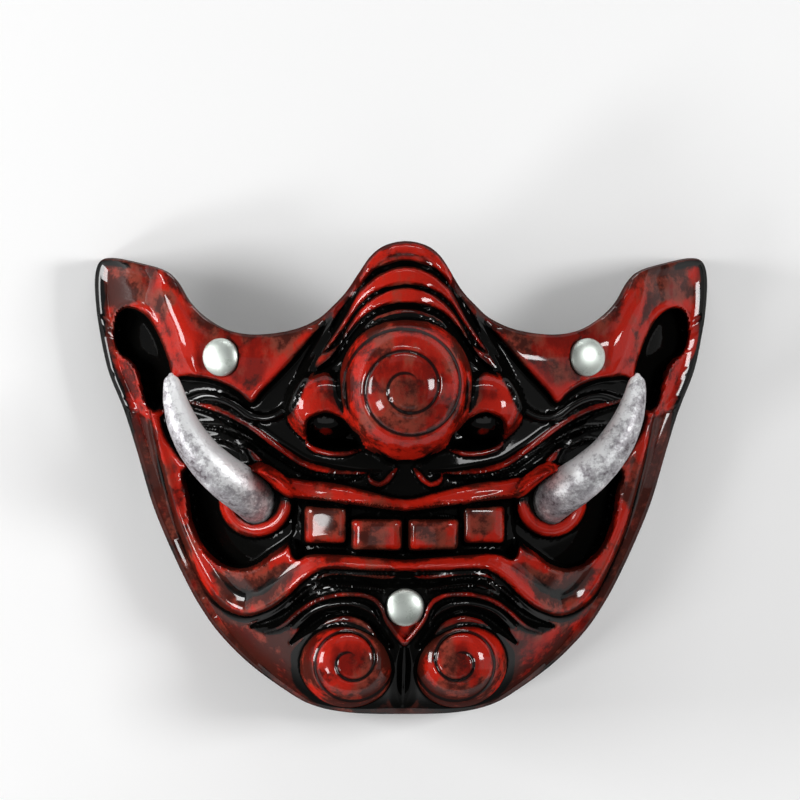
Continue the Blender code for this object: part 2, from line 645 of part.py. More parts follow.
def make_shell(material):
    bm = flat_shell()
    formed_shell(bm)
    shell = kept(bm, "face_shell", material)
    shell.data.update()
    thin = shell.modifiers.new("thin", "DECIMATE")
    thin.ratio = SHELL_TRIANGLES / (2 * len(shell.data.polygons))
    return shell


# Tusks

def tusk_solid(side, grow, name, material):
    """A tusk, or with some growth the room that it needs."""
    run, _ = smooth(TUSK, step=1)
    middles = run[:, :3] * np.array([side * HALF_WIDTH, HALF_HEIGHT, FACE_DEPTH]) / 100
    middles[:, 2] += tusk_seat()
    length = np.concatenate([[0], np.cumsum(np.linalg.norm(np.diff(middles, axis=0), axis=1))])
    stations = np.linspace(0, length[-1], TUSK_RINGS)
    middles = [Vector([np.interp(at, length, column) for column in middles.T]) for at in stations]
    radii = [np.interp(at, length, run[:, 3]) * TUSK_DIAMETER / 2 + grow for at in stations]
    first = (middles[1] - middles[0]).normalized()
    last = (middles[-1] - middles[-2]).normalized()
    middles[0] -= first * (SOCKET_DEPTH + grow)
    middles[-1] += last * grow
    bm = bmesh.new()
    rings = []
    for index, (middle, radius) in enumerate(zip(middles, radii)):
        before, after = middles[max(index - 1, 0)], middles[min(index + 1, len(middles) - 1)]
        turn = (after - before).to_track_quat("Z", "Y")
        ring = []
        for step in range(TUSK_SIDES):
            angle = 2 * pi * step / TUSK_SIDES
            ring.append(bm.verts.new(middle + turn @ Vector((radius * cos(angle), radius * sin(angle), 0))))
        rings.append(ring)
    # The root's end is cut off flat, so that it stays clear of the inner face
    for vert in rings[0]:
        vert.co -= first * (vert.co.z - middles[0].z) / first.z
    for low, high in zip(rings, rings[1:]):
        for step in range(TUSK_SIDES):
            after = (step + 1) % TUSK_SIDES
            bm.faces.new((low[step], low[after], high[after], high[step]))
    bm.faces.new(rings[0][::-1])
    bm.faces.new(rings[-1])
    return kept(bm, name, material)


# Studs

def turned(profile, sides, frame, name, material):
    """A solid turned round an axis from rows of radius and height; it starts and ends on the axis."""
    bm = bmesh.new()
    verts = [bm.verts.new((radius, 0, height)) for radius, height in profile]
    edges = [bm.edges.new(pair) for pair in zip(verts, verts[1:])]
    bmesh.ops.spin(
        bm, geom=verts + edges, cent=(0, 0, 0), axis=(0, 0, 1), angle=2 * pi, steps=sides, use_merge=True,
    )
    bmesh.ops.transform(bm, matrix=frame, verts=bm.verts)
    return kept(bm, name, material)


def stud_frame(out, up, side):
    """Where a stud sits: its axis leans with the plain face, and its cap rests a little below the surface."""
    x, y = in_metres([(out, up)])[0]
    step = FOLD_WIDTH / 4
    here, beyond, above = (float(plain_height(np.array([a]), np.array([b]))[0]) for a, b in (
        (x, y), (x + step, y), (x, y + step)))
    lean = Vector((-(beyond - here) / step * STUD_LEAN, -(above - here) / step * STUD_LEAN, 1))
    if out == 0:
        lean.x = 0
    lean.x *= side
    seat = Vector((side * x, y, here)) - lean.normalized() * STUD_SINK
    return Matrix.Translation(seat) @ lean.to_track_quat("Z", "Y").to_matrix().to_4x4()


def stud_solid(frame, name, material):
    cap, shank, disc = STUD_CAP_DIAMETER / 2, STUD_SHANK_DIAMETER / 2, STUD_DISC_DIAMETER / 2
    under = -STUD_GRIP - FIT_GAP
    rounds = [radians(90 * step / 5) for step in range(6)]
    profile = [(0, FIT_GAP + STUD_CAP_EDGE + STUD_CAP_RISE)]
    profile += [(cap * sin(a), FIT_GAP + STUD_CAP_EDGE + STUD_CAP_RISE * cos(a)) for a in rounds[1:]]
    profile += [(cap, FIT_GAP), (shank, FIT_GAP), (shank, under), (disc, under)]
    profile += [(disc, under - STUD_DISC_THICKNESS), (0, under - STUD_DISC_THICKNESS)]
    return turned(profile, STUD_SIDES, frame, name, material)


def stud_room(frame, name, material):
    """The seat for the cap, the hole for the shank and the seat for the disc inside."""
    cap, disc = STUD_CAP_DIAMETER / 2 + STUD_ROOM, STUD_DISC_DIAMETER / 2 + STUD_ROOM
    shank = STUD_SHANK_DIAMETER / 2 + FIT_GAP
    high, low = STUD_SINK + 2 * STUD_CAP_RISE, -STUD_GRIP - 4 * STUD_DISC_THICKNESS
    profile = [(0, high), (cap, high), (cap, 0), (shank, 0), (shank, -STUD_GRIP), (disc, -STUD_GRIP)]
    profile += [(disc, low), (0, low)]
    return turned(profile, STUD_SIDES, frame, name, material)


def main():
    for item in list(bpy.data.objects):
        bpy.data.objects.remove(item)
    lacquer = made_material("red lacquer", (0.30, 0.006, 0.008), 0.18, 0)
    silver = made_material("smudged silver", (0.62, 0.61, 0.63), 0.38, 0.85)
    nickel = made_material("polished nickel", (0.75, 0.77, 0.74), 0.12, 1)
    shell = make_shell(lacquer)
    for side, word in ((-1, "left"), (1, "right")):
        tusk_solid(side, 0, "tusk_" + word, silver)
        cut(shell, tusk_solid(side, FIT_GAP, "tusk_room_" + word, silver))
    for name, out, up, side in STUDS:
        frame = stud_frame(out, up, side)
        stud_solid(frame, name, nickel)
        cut(shell, stud_room(frame, name + "_room", nickel))


main()
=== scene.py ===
# A samurai face guard: a red lacquered half mask with silver tusks and nickel studs, lying on its rear rim.
# A place on the face is given as out and up, in percent of its half width and half height.
from math import ceil, cos, pi, radians, sin

import bmesh
import bpy
import numpy as np
from mathutils import Matrix, Vector


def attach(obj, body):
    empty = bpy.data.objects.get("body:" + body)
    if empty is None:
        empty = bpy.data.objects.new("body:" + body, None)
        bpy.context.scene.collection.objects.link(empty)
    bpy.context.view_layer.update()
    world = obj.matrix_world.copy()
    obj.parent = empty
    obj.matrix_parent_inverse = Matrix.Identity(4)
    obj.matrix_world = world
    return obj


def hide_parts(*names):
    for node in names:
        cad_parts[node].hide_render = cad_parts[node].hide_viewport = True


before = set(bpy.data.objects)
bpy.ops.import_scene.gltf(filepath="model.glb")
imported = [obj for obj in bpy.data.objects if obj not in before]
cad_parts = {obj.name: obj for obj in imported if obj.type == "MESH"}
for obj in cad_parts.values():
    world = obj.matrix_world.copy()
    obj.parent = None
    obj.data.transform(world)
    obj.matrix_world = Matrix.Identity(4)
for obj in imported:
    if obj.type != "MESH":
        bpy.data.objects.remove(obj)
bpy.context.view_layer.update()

# What the face, its tusks and its studs are cut to, in metres
face = {
    "width": 0.185,
    "height": 0.142,
    "depth": 0.088,
    "wall": 0.0034,
    "edgeRound": 0.0032,
    "rimChamfer": 0.0004,
    "turnDownReach": 0.0085,
    "turnDown": 0.0050,
    "foldWidth": 0.0032,
    "foldRise": 0.0050,
    "hollowDepth": 0.0100,
    "spiralWidth": 0.0009,
    "spiralDepth": 0.0006,
    "columns": 312,
    "rows": 236,
    "insideColumns": 44,
    "insideRows": 34,
    "insideTriangles": 14000,
    "mapStep": 0.00045,
}
tusk = {
    "diameter": 0.0132,
    "collarWidth": 0.0052,
    "collarRise": 0.0062,
    "socketDepth": 0.0015,
    "fitGap": 0.0003,
    "sides": 9,
    "step": 0.0010,
    "unevenness": 0.00012,
    "rootDarkeningReach": 0.012,
}
stud = {
    "places": (("studLeft", "stud_left", 59.3, 51.4, -1), ("studRight", "stud_right", 59.3, 51.4, 1),
               ("studChin", "stud_chin", 0, -53.7, 1)),
    "capDiameter": 0.0114,
    "capRise": 0.0024,
    "capEdge": 0.0006,
    "shankDiameter": 0.0040,
    "grip": 0.0032,
    "discDiameter": 0.0088,
    "discThickness": 0.0012,
    "sink": 0.0008,
    "room": 0.0005,
    "lean": 0.6,
    "steps": 64,
}
halfWidth = face["width"] / 2
halfHeight = face["height"] / 2

# The outline of one half, from the nose bridge round to the chin: out, up, side wall's height in percent
# of the depth, share of the turned down edge
outlineRows = (
    (0, 100, 12, 0.5),
    (6.5, 98.3, 12, 0.5),
    (11, 94, 12, 0.5),
    (15, 86.5, 12, 0.5),
    (18.5, 79.5, 12, 0.6),
    (22.7, 73.5, 11, 0.7),
    (28, 67.5, 10, 0.8),
    (36, 63, 10, 0.8),
    (47, 61, 10, 0.8),
    (56, 62.5, 10, 0.8),
    (63, 67.3, 10, 0.8),
    (68.7, 74.2, 11, 0.8),
    (73, 83.3, 13, 0.8),
    (77.5, 88.3, 18, 0.8),
    (86, 91.7, 24, 0.8),
    (94, 93.8, 26, 0.8),
    (98.3, 92.6, 26, 0.8),
    (100, 87, 26, 0.9),
    (100, 77, 26, 1),
    (98.7, 63.5, 26, 1),
    (95.8, 46, 26, 1),
    (90.7, 29.3, 24, 1),
    (86.5, 12, 20, 1),
    (81.8, -9, 17, 1),
    (77, -25, 16, 1),
    (71, -42, 16, 1),
    (66, -54, 17, 1),
    (59.5, -66, 19, 1),
    (50, -78.5, 23, 1),
    (39, -89.2, 28, 1),
    (29.5, -96.3, 34, 1),
    (17.5, -99.5, 36, 1),
    (0, -100, 36, 1),
)
wingCorner = 16
chinCorner = 30

# Level sections of the plain face: up, how far forward its middle and its sides are in percent of the
# depth, and how far out the sides are
levelRows = (
    (120, 73, 12, 104),
    (100, 73, 12, 104),
    (60, 71, 12, 103),
    (20, 69, 13, 96),
    (-10, 68, 14, 88),
    (-35, 67, 14, 79),
    (-55, 63, 13, 70),
    (-75, 55, 12, 58),
    (-90, 44, 11, 46),
    (-100, 31, 9, 38),
    (-115, 6, 6, 30),
)
levelBend = 2.3

# Broad swellings: out, up, half width, half height, rise in percent of the depth
swellings = (
    (0, 66, 26, 54, 10),  # nose bridge
    (0, 0, 46, 36, 5),  # muzzle
    (0, -58, 30, 30, 3),  # chin
)

# Sunk places: name, share of the hollow depth, share of the fold width that the edge takes, corners
sunkPlaces = (
    ("cheek valley", 0.42, 0.8, (
        (15.4, 82.5), (21.2, 74.8), (27.7, 63.8), (33.5, 54.5), (40, 44.8), (45.9, 36.8), (49.4, 32.1),
        (53.6, 36.4), (58.8, 40.2), (66, 42.7), (73.1, 42.7), (78, 36.8), (78.9, 28.3), (77, 18.6),
        (72.4, 8.9), (68, 3.8), (58, 3.8), (45.9, 3.8), (33.5, -6), (12, -10), (-12, -12), (-12, 11.4),
        (4, 11.4), (17.3, 15), (33.5, 19), (36.1, 31.3), (31.9, 45.2), (19, 69),
    )),
    ("mouth", 0.80, 0.7, (
        (36.1, -8), (23.8, -8.9), (10.9, -11.4), (-12, -14.8), (-12, -32.6), (17.3, -31.3),
        (29.7, -31), (35, -33), (37, -27), (38.5, -18),
    )),
    ("cheek pocket", 0.95, 1.0, (
        (70.5, 3.8), (69.5, -8.9), (68.2, -19.5), (65, -28.8), (59.5, -35.5), (53.6, -38.1), (47.8, -36.4),
        (42.6, -31.7), (37.5, -27), (34.5, -22.4), (34.5, -10), (38.1, -5.5), (43.3, -0.4), (53, 3.8),
        (62.7, 5.9),
    )),
    ("ear hollow", 1.0, 0.65, (
        (89.3, 71.9), (84.4, 69.3), (81.2, 63.8), (78.6, 56.7), (76.3, 47.8), (75.7, 39.7), (77.6, 32.6),
        (80.8, 29.6), (83.6, 33.4), (84.9, 39), (86, 45), (88.3, 49.8), (92, 54.6), (93.2, 62), (92.2, 69.8),
    )),
)

# Round bodies: out, up, half width, half height, seat and further rise in percent of the depth, how broad
# their top is
domes = (
    (0, 38.5, 21.8, 30.8, 73, 27, 1.2),  # nose
    (25.4, 30.8, 13.6, 16.4, 60, 18, 1.6),  # nostril wing
    (17.6, -76.5, 16.6, 20.6, 35, 30, 1.8),  # chin boss
)

sunkInDomes = (
    ("nostril", 1.2, 0.6, (
        (31.3, 24.9), (29.3, 26.6), (26.4, 27.9), (23.8, 27.5), (21.2, 25.8), (19, 23.3), (16.7, 20.7),
        (14.7, 18.2), (14.4, 13.5), (19, 13.5), (23.8, 14), (27.7, 14.8), (31, 17.3), (31.9, 20.7),
    )),
)

# Teeth: out, up, half width, half height, share of the hollow depth that they stand up by
teeth = (
    (9.2, -23.5, 9.3, 7.7, 0.62),
    (25.6, -18.9, 7.6, 9.1, 0.56),
)

# Cross-sections of a fold, from its right side to its left: share of the half width, share of the height
foldShapes = {
    "roll": ((-1, 0), (-0.85, 0.42), (-0.5, 0.82), (0, 1), (0.5, 0.82), (0.85, 0.42), (1, 0)),
    "ridge": ((-1, 0), (-0.6, 0.3), (-0.3, 0.78), (0, 1), (0.3, 0.78), (0.6, 0.3), (1, 0)),
    "groove": ((-1, 0), (-0.75, -0.1), (-0.35, -0.65), (0, -1), (0.35, -0.65), (0.75, -0.1), (1, 0)),
    "lap": (
        (-1.3, 0), (-1, -0.14), (-0.6, -0.38), (-0.3, -0.1), (-0.1, 0.62), (0.15, 1), (0.5, 0.86),
        (1, 0.46), (1.5, 0.13), (2, 0),
    ),
    "collar": (
        (-1, 0), (-0.85, 0.42), (-0.5, 0.84), (0, 1), (0.5, 0.9), (1, 0.62), (1.5, 0.56), (9, 0.56),
    ),
}

# Folds: name, cross-section, share of the fold width, share of the fold rise, and the route as out, up
# and how full the fold is there
folds = (
    ("bridge edge", "roll", 0.55, 0.3, (
        (17.3, 77, 0.3), (13.5, 85.8, 0.9), (9.2, 93, 1), (4.4, 96.4, 1), (0, 97.3, 1),
    )),
    ("bridge groove 1", "groove", 0.6, 0.6, (
        (24, 62, 0.3), (21.2, 68.9, 0.8), (17.3, 76.5, 1), (13.5, 82.5, 1), (8.3, 87.5, 1), (0, 90.5, 1),
    )),
    ("bridge groove 2", "groove", 0.5, 0.5, (
        (27.1, 52, 0.3), (22.5, 57.1, 0.9), (18.6, 65.1, 1), (14.7, 72.3, 1), (10.2, 77.4, 1),
        (5, 80.3, 0.9), (0, 81.2, 0.8),
    )),
    ("bridge groove 3", "groove", 0.6, 0.6, (
        (30, 43, 0.4), (26, 47, 0.8), (22.5, 50.5, 1), (19.9, 55.5, 1), (16, 63, 1), (11.5, 68.8, 1),
        (5.7, 72, 1), (0, 72.8, 0.9),
    )),
    ("side line", "roll", 0.5, 0.42, (
        (16.5, 80, 0.4), (18.3, 75.7, 0.8), (23.8, 65.1, 1), (29.7, 52.4, 1), (34.2, 41, 1), (37.4, 31.7, 1),
        (40.7, 27.5, 1), (45.2, 25.8, 1), (49.8, 27.1, 1), (54.3, 30.9, 1), (58.8, 33.8, 1), (64, 35.1, 1),
        (70.5, 33.8, 0.8),
    )),
    ("cheek fold 1", "lap", 0.55, 0.45, (
        (8, 2.5, 0.3), (18.6, 2.1, 0.8), (26.4, 3, 1), (32.9, 5.5, 1), (39.4, 11, 1), (45.9, 17.3, 1),
        (53, 23.7, 1), (62.1, 29.2, 1), (70.8, 32.1, 0.8),
    )),
    ("cheek fold 2", "lap", 0.42, 0.35, (
        (14, 0, 0.3), (19, 0, 0.6), (28.4, 0.9, 0.7), (36.1, 5, 0.8), (43.3, 11.2, 1), (50.4, 17.3, 1),
        (57.5, 21.1, 1), (65, 22.4, 0.7),
    )),
    ("cheek fold 3", "lap", 0.36, 0.28, ((50, 12, 0.5), (53, 13.4, 0.9), (57.5, 16.1, 1), (63.4, 16.5, 0.6))),
    ("upper lip", "roll", 1.12, 1.3, (
        (50.7, 13.1, 0.35), (45.9, 5.5, 0.65), (40, -1.3, 0.9), (33.5, -4.2, 1), (23.8, -5.5, 1),
        (12.5, -8, 0.85), (0, -11, 0.75),
    )),
    ("nostril rim", "roll", 0.35, 0.3, (
        (33.2, 17.3, 0.5), (29.7, 13.1, 1), (24.5, 11, 1), (18.6, 11, 1), (14.1, 13.1, 1), (10.2, 11.4, 0.8),
        (6.3, 7.6, 0.6),
    )),
    ("nostril crease", "groove", 0.45, 0.4, (
        (19, 46.9, 0.5), (19.6, 39.7, 1), (19, 31.3, 1), (16.7, 23.3, 1), (12.8, 16.5, 0.6),
    )),
    ("septum", "roll", 0.28, 0.3, ((12, 13.5, 0.5), (7.6, 9.5, 1), (3.4, 5.5, 0.7))),
    ("philtrum lobe", "roll", 0.38, 0.45, (
        (12.2, 2.1, 0.5), (10.9, -0.8, 1), (8.3, -2.1, 1), (6, -0.4, 1), (4.4, 2.1, 1), (2.8, 4.7, 0.6),
    )),
    ("lower lip", "lap", 1, 0.9, (
        (0, -37.5, 0.8), (14.1, -37.1, 0.8), (23.8, -36.6, 0.8), (28.4, -38, 0.8), (33.5, -42.6, 0.9),
        (38.4, -48.8, 1), (43.9, -54.1, 1), (51.1, -57.1, 1), (57.5, -54.1, 1), (63, -46.9, 1),
        (67.9, -35.1, 0.9), (71.8, -22.4, 0.8), (75, -8.9, 0.7), (78, 5.9, 0.6), (80.6, 20.7, 0.5),
        (82.2, 29.6, 0.3),
    )),
    ("pocket rim", "roll", 0.45, 0.35, (
        (70.8, 7.2, 0.6), (69.9, -4.7, 0.9), (68.6, -17.3, 1), (65.3, -27.9, 1), (59.8, -35.5, 1),
        (53.6, -38.1, 1), (47.5, -36.4, 1), (42.3, -31.3, 0.9), (36.8, -25.8, 0.5),
    )),
    ("chin groove", "groove", 0.75, 0.7, (
        (0, -43.5, 0.7), (14.1, -42.9, 1), (23.2, -42.4, 1), (29, -45.4, 1), (34.2, -52.2, 1),
        (40.7, -58.8, 1), (49.1, -62.6, 0.5),
    )),
    ("chin line", "roll", 0.34, 0.5, (
        (45, -65, 0.5), (39.5, -62, 0.9), (33.7, -55.4, 1), (28.2, -51, 1), (21.7, -48.6, 1),
        (15, -48.4, 1), (10.2, -50.2, 1), (7.6, -54, 1), (5.9, -59.5, 1), (3.2, -64.5, 1), (0.1, -69.3, 1),
    )),
    ("chin line above", "roll", 0.42, 0.4, (
        (38, -54.5, 0.4), (33.7, -49.7, 0.9), (28.2, -45.2, 1), (21.7, -43.6, 1), (13.3, -44.6, 1),
        (7.2, -46.6, 0.5),
    )),
    ("chin line below", "roll", 0.4, 0.4, (
        (36.5, -63.5, 0.4), (33.4, -59.9, 0.9), (28.6, -55, 1), (21.7, -52.3, 1), (15, -52.8, 1),
        (10.8, -56, 1), (8.4, -62, 0.5),
    )),
    ("boss groove", "groove", 0.7, 0.6, (
        (4.6, -70, 0.6), (8, -64, 1), (11.8, -58.6, 1), (18.5, -55.7, 1), (25.4, -57.6, 1), (31.6, -63.2, 1),
        (36.3, -69, 0.5),
    )),
    ("chin cleft", "groove", 0.9, 0.6, ((0.1, -70, 0.5), (0.1, -78, 1), (0.1, -88, 1), (0.1, -96, 0.3))),
    ("cheek crest", "ridge", 2.4, 0.5, (
        (79, 88, 0.4), (75.7, 75.7, 1), (73.1, 65.1, 1), (70.8, 54.5, 1), (67.6, 45, 0.5),
    )),
    ("ear lobe", "roll", 0.42, 0.42, (
        (91, 53.6, 0.5), (87.8, 49.2, 1), (85.8, 44.6, 1), (84.6, 38.5, 1), (83, 32.6, 0.7),
    )),
    ("ear rim", "roll", 0.3, 0.2, (
        (80, 66, 0.4), (83.5, 71.5, 1), (88.5, 73.5, 1), (92, 71.5, 1), (94.5, 66, 0.8), (94.5, 56, 0.6),
        (92, 45, 0.5), (88.5, 33, 0.7), (85, 28, 0.9), (80, 27, 1), (76.5, 30, 0.8), (74.5, 36, 0.4),
    )),
)

# Folds whose crest keeps its red, folds that the wash covers, and places that it fills
keptRed = ("bridge edge", "cheek fold 1", "upper lip", "nostril rim", "philtrum lobe", "lower lip",
           "pocket rim", "chin line", "cheek crest", "ear lobe", "ear rim")
keptBlack = ("side line", "cheek fold 2", "cheek fold 3", "septum", "chin line above", "chin line below")
washedPlaces = (
    ("under the lip", 1.0, 0.5, (
        (-6, -42.5), (8, -42.5), (22.7, -41.5), (29, -44.5), (35, -51), (42, -58), (49, -62.5), (44, -65.5),
        (36, -62), (30, -57.5), (19, -55.5), (10, -59.5), (5.5, -68), (4.2, -80), (3.5, -96), (-6, -96),
    )),
)

# Where the red shows through under the chin stud
redPlaces = (
    ("under the stud", 1.0, 0.3, ((-4.6, -59.5), (0, -60), (4.6, -59.5), (2.6, -65), (0, -69), (-2.6, -65))),
)

# Smudges of the wash: which side, out, up, reach in percent of the half width, strength
smudges = (
    (-1, 92, 82, 9, 0.8), (-1, 77.5, 75.5, 4, 1.1), (1, 88, 82, 10, 0.8), (1, 78, 64, 6, 0.4),
    (-1, 79, 2, 8, 0.5), (-1, 74, -28, 8, 0.5), (1, 77, -6, 9, 0.7), (1, 70, -40, 8, 0.5),
    (-1, 49, -46, 11, 0.9), (1, 50, -46, 11, 0.8), (-1, 39.5, 60, 7, 0.6), (1, 36, 58, 8, 0.5),
    (-1, 9, 62, 6, 0.6), (1, 16, 52, 7, 0.6), (-1, 12, 24, 6, 0.4), (1, 14, 27, 6, 0.5),
    (-1, 11.5, -89, 8, 0.9), (1, 9, -67, 5, 0.8), (1, 25, -90, 8, 0.6), (-1, 30, -84, 6, 0.5),
    (-1, 12, -99, 12, 0.7), (1, 14, -99, 12, 0.7), (-1, 45, -82, 8, 0.6), (1, 47, -80, 8, 0.6),
    (1, 3, 31, 12, 0.35), (-1, 9, -20.5, 9, 0.6), (1, 9, -20.5, 9, 0.55),
    (-1, 25, -16, 8, 0.6), (1, 26, -16, 8, 0.65),
    (-1, 21, -97, 11, 0.7), (1, 22, -97, 11, 0.7), (-1, 9, -76, 5, 0.6), (1, 30, -80, 7, 0.5),
)

# Spiral grooves: name, out, up, first and last radius in percent of the half width, turns, start in degrees,
# whether both halves of the face have it
spirals = (
    ("nose spiral", 0, 38.5, 4.5, 20.2, 2.2, 90, False),
    ("chin spiral", 17.7, -76.5, 3, 14.4, -1.65, 70, True),
)

# The run of a tusk: out, up, forward of its seat in percent of the depth, share of its diameter
tuskRows = (
    (48, -9.2, -1, 1),
    (50.2, -6.6, 4, 1.02),
    (54.5, -2.4, 9, 1.03),
    (60.5, 3.8, 12.5, 0.96),
    (66.5, 12, 14, 0.85),
    (71.3, 22.5, 14, 0.73),
    (74, 32.5, 12.5, 0.57),
    (75, 39.5, 11, 0.43),
    (75.3, 42.4, 10.4, 0.32),
    (75.4, 43.8, 10.1, 0.14),
)

# Curves and distances

def inMetres(rows):
    rows = np.array(rows, float)
    rows[:, 0] *= halfWidth / 100
    rows[:, 1] *= halfHeight / 100
    return rows


def smoothRun(rows, closed=False, step=0.0010):
    # a smooth run through every row, and where in it each row lies
    rows = np.array(rows, float)
    if closed:
        ring = np.vstack([rows[-1:], rows, rows[:2]])
    else:
        ring = np.vstack([2 * rows[:1] - rows[1:2], rows, 2 * rows[-1:] - rows[-2:-1]])
    run, places = [], []
    for a, b, c, d in zip(ring, ring[1:], ring[2:], ring[3:]):
        count = max(2, ceil(np.hypot(*(c - b)[:2]) / step))
        t = np.arange(count)[:, None] / count
        square, cube = 2 * a - 5 * b + 4 * c - d, 3 * b - 3 * c + d - a
        places.append(sum(map(len, run)))
        run.append(b + ((c - a) * t + square * t**2 + cube * t**3) / 2)
    run.append(ring[-2:-1])
    places.append(sum(map(len, run)) - 1)
    return np.vstack(run), places


def mirrored(rows):
    rows = np.array(rows, float)
    rows[:, 0] *= -1
    return rows


def acrossMiddle(rows):
    # a route that reaches the middle runs on to its own mirror image, so that it crosses square
    rows = np.array(rows, float)
    if rows[0, 0] == 0:
        rows = np.vstack([mirrored(rows[2:0:-1]), rows])
    if rows[-1, 0] == 0:
        rows = np.vstack([rows, mirrored(rows[-2:-4:-1])])
    return rows


def ease(t):
    t = np.clip(t, 0, 1)
    return t * t * (3 - 2 * t)


def besideRun(run, x, y):
    # how far each place is from a run, its side, positive on the left, and the run's other columns there
    gap = np.full(x.shape, np.inf)
    side = np.ones(x.shape)
    other = np.zeros((run.shape[1] - 2,) + x.shape)
    for a, b in zip(run[:-1], run[1:]):
        dx, dy = b[:2] - a[:2]
        along = np.clip(((x - a[0]) * dx + (y - a[1]) * dy) / (dx * dx + dy * dy + 1e-18), 0, 1)
        away = np.hypot(x - a[0] - along * dx, y - a[1] - along * dy)
        closer = away < gap
        gap[closer] = away[closer]
        side[closer] = np.where(dx * (y - a[1]) - dy * (x - a[0]) < 0, -1, 1)[closer]
        for column in range(len(other)):
            value = a[2 + column] + along * (b[2 + column] - a[2 + column])
            other[column][closer] = value[closer]
    return gap, side, other


def nearRun(run, x, y, reach):
    low, high = run[:, :2].min(0) - reach, run[:, :2].max(0) + reach
    return (x > low[0]) & (x < high[0]) & (y > low[1]) & (y < high[1])


def withinRun(run, x, y):
    within = np.zeros(x.shape, bool)
    for a, b in zip(run[:-1], run[1:]):
        if a[1] != b[1]:
            within ^= ((a[1] > y) != (b[1] > y)) & (x < (b[0] - a[0]) * (y - a[1]) / (b[1] - a[1]) + a[0])
    return within


# The face as a height over its plan

def plainHeight(x, y):
    out, up = np.abs(x) / halfWidth * 100, y / halfHeight * 100
    levels = smoothRun(levelRows, step=1)[0][::-1]
    middle, side, span = (np.interp(up, levels[:, 0], levels[:, column]) for column in (1, 2, 3))
    height = side + (middle - side) * (1 - (out / span) ** levelBend)
    for atOut, atUp, halfOut, halfUp, rise in swellings:
        reach = ((out - atOut) / halfOut) ** 2 + ((up - atUp) / halfUp) ** 2
        height = height + rise * np.clip(1 - reach, 0, 1) ** 2
    return height * face["depth"] / 100


def sunkDepth(x, y, places):
    # where two sunk places overlap, the deeper one counts
    sunk = np.zeros(x.shape)
    for _, depth, softness, corners in places:
        run, _ = smoothRun(inMetres(corners), closed=True)
        run = np.vstack([run, run[:1]])
        edge = softness * face["foldWidth"]
        near = nearRun(run, x, y, edge)
        gap, _, _ = besideRun(run, x[near], y[near])
        signed = np.where(withinRun(run, x[near], y[near]), gap, -gap)
        sunk[near] = np.maximum(sunk[near], depth * face["hollowDepth"] * ease(signed / edge + 0.5))
    return sunk


def withDomes(height, x, y):
    blend = 0.25 * face["foldWidth"]
    for atOut, atUp, halfOut, halfUp, seat, rise, broad in domes:
        a = (x / halfWidth * 100 - atOut) / halfOut
        b = (y / halfHeight * 100 - atUp) / halfUp
        reach = (a * a + b * b) ** broad
        dome = (seat + rise * np.sqrt(np.clip(1 - reach, 0, 1))) * face["depth"] / 100
        dome = np.where(reach < 1, dome, -face["depth"])
        meet = np.clip(1 - np.abs(height - dome) / blend, 0, 1)
        height = np.maximum(height, dome) + meet**2 * blend / 4
    return height


def withTeeth(height, x, y):
    for atOut, atUp, halfOut, halfUp, rise in teeth:
        a = np.abs(x / halfWidth * 100 - atOut) / halfOut
        b = np.abs(y / halfHeight * 100 - atUp) / halfUp
        height = height + rise * face["hollowDepth"] * np.clip(1 - a**8, 0, 1) * np.clip(1 - b**8, 0, 1)
    return height


def withFold(height, x, y, shape, foldHalf, rise, run):
    rows, _ = smoothRun(foldShapes[shape], step=0.05)
    near = nearRun(run, x, y, foldHalf * np.abs(rows[[0, -1], 0]).max())
    gap, side, (full,) = besideRun(run, x[near], y[near])
    share = gap * side / (foldHalf * np.maximum(full, 0.3))
    height[near] += rise * full * np.interp(share, rows[:, 0], rows[:, 1])
    return height


def collarRun():
    middle = inMetres([tuskRows[0][:2]])[0]
    radius = tusk["diameter"] / 2 + tusk["fitGap"] + tusk["collarWidth"] * 0.4
    turn = np.linspace(0, 2 * pi, 41)
    return np.stack([middle[0] + radius * np.cos(turn), middle[1] + radius * np.sin(turn), np.ones(41)], 1)


def tuskSeat():
    # how far forward the bottom of a collar is
    place = inMetres([tuskRows[0][:2]])
    x, y = place[:, 0], place[:, 1]
    foot = foldShapes["collar"][-1][1] * tusk["collarRise"]
    return (plainHeight(x, y) - sunkDepth(x, y, sunkPlaces))[0] + foot


def spiralRun(atOut, atUp, first, last, turns, start):
    t = np.linspace(0, 1, 140)
    radius = (first + (last - first) * t) * halfWidth / 100
    turn = radians(start) + t * turns * 2 * pi
    middle = inMetres([(atOut, atUp)])[0]
    full = ease(np.minimum(t, 1 - t) * 12)
    return np.stack([middle[0] + radius * np.cos(turn), middle[1] + radius * np.sin(turn), full], 1)


def outlineRun():
    # the outline of one half, and where its two corners are in it
    run, places = smoothRun(inMetres(acrossMiddle(outlineRows)))
    first, last = places[2], places[-3]
    run[first, 0] = run[last, 0] = 0
    return run[first:last + 1], places[2 + wingCorner] - first, places[2 + chinCorner] - first


def faceHeight(x, y):
    # the finished face at places of its right half, but for the nose's spiral, which isn't alike on both sides
    height = plainHeight(x, y) - sunkDepth(x, y, sunkPlaces)
    height = withDomes(height, x, y)
    height = height - sunkDepth(x, y, sunkInDomes)
    height = withTeeth(height, x, y)
    height = withFold(height, x, y, "collar", tusk["collarWidth"] / 2, tusk["collarRise"], collarRun())
    for _, shape, width, rise, route in folds:
        run, _ = smoothRun(inMetres(acrossMiddle(route)))
        height = withFold(height, x, y, shape, width * face["foldWidth"], rise * face["foldRise"], run)
    for _, *spiral, both in spirals:
        if both:
            height = withSpiral(height, x, y, spiral)
    gap, _, (_, fall) = besideRun(outlineRun()[0], x, y)
    return height - fall * face["turnDown"] * np.clip(1 - gap / face["turnDownReach"], 0, 1) ** 2


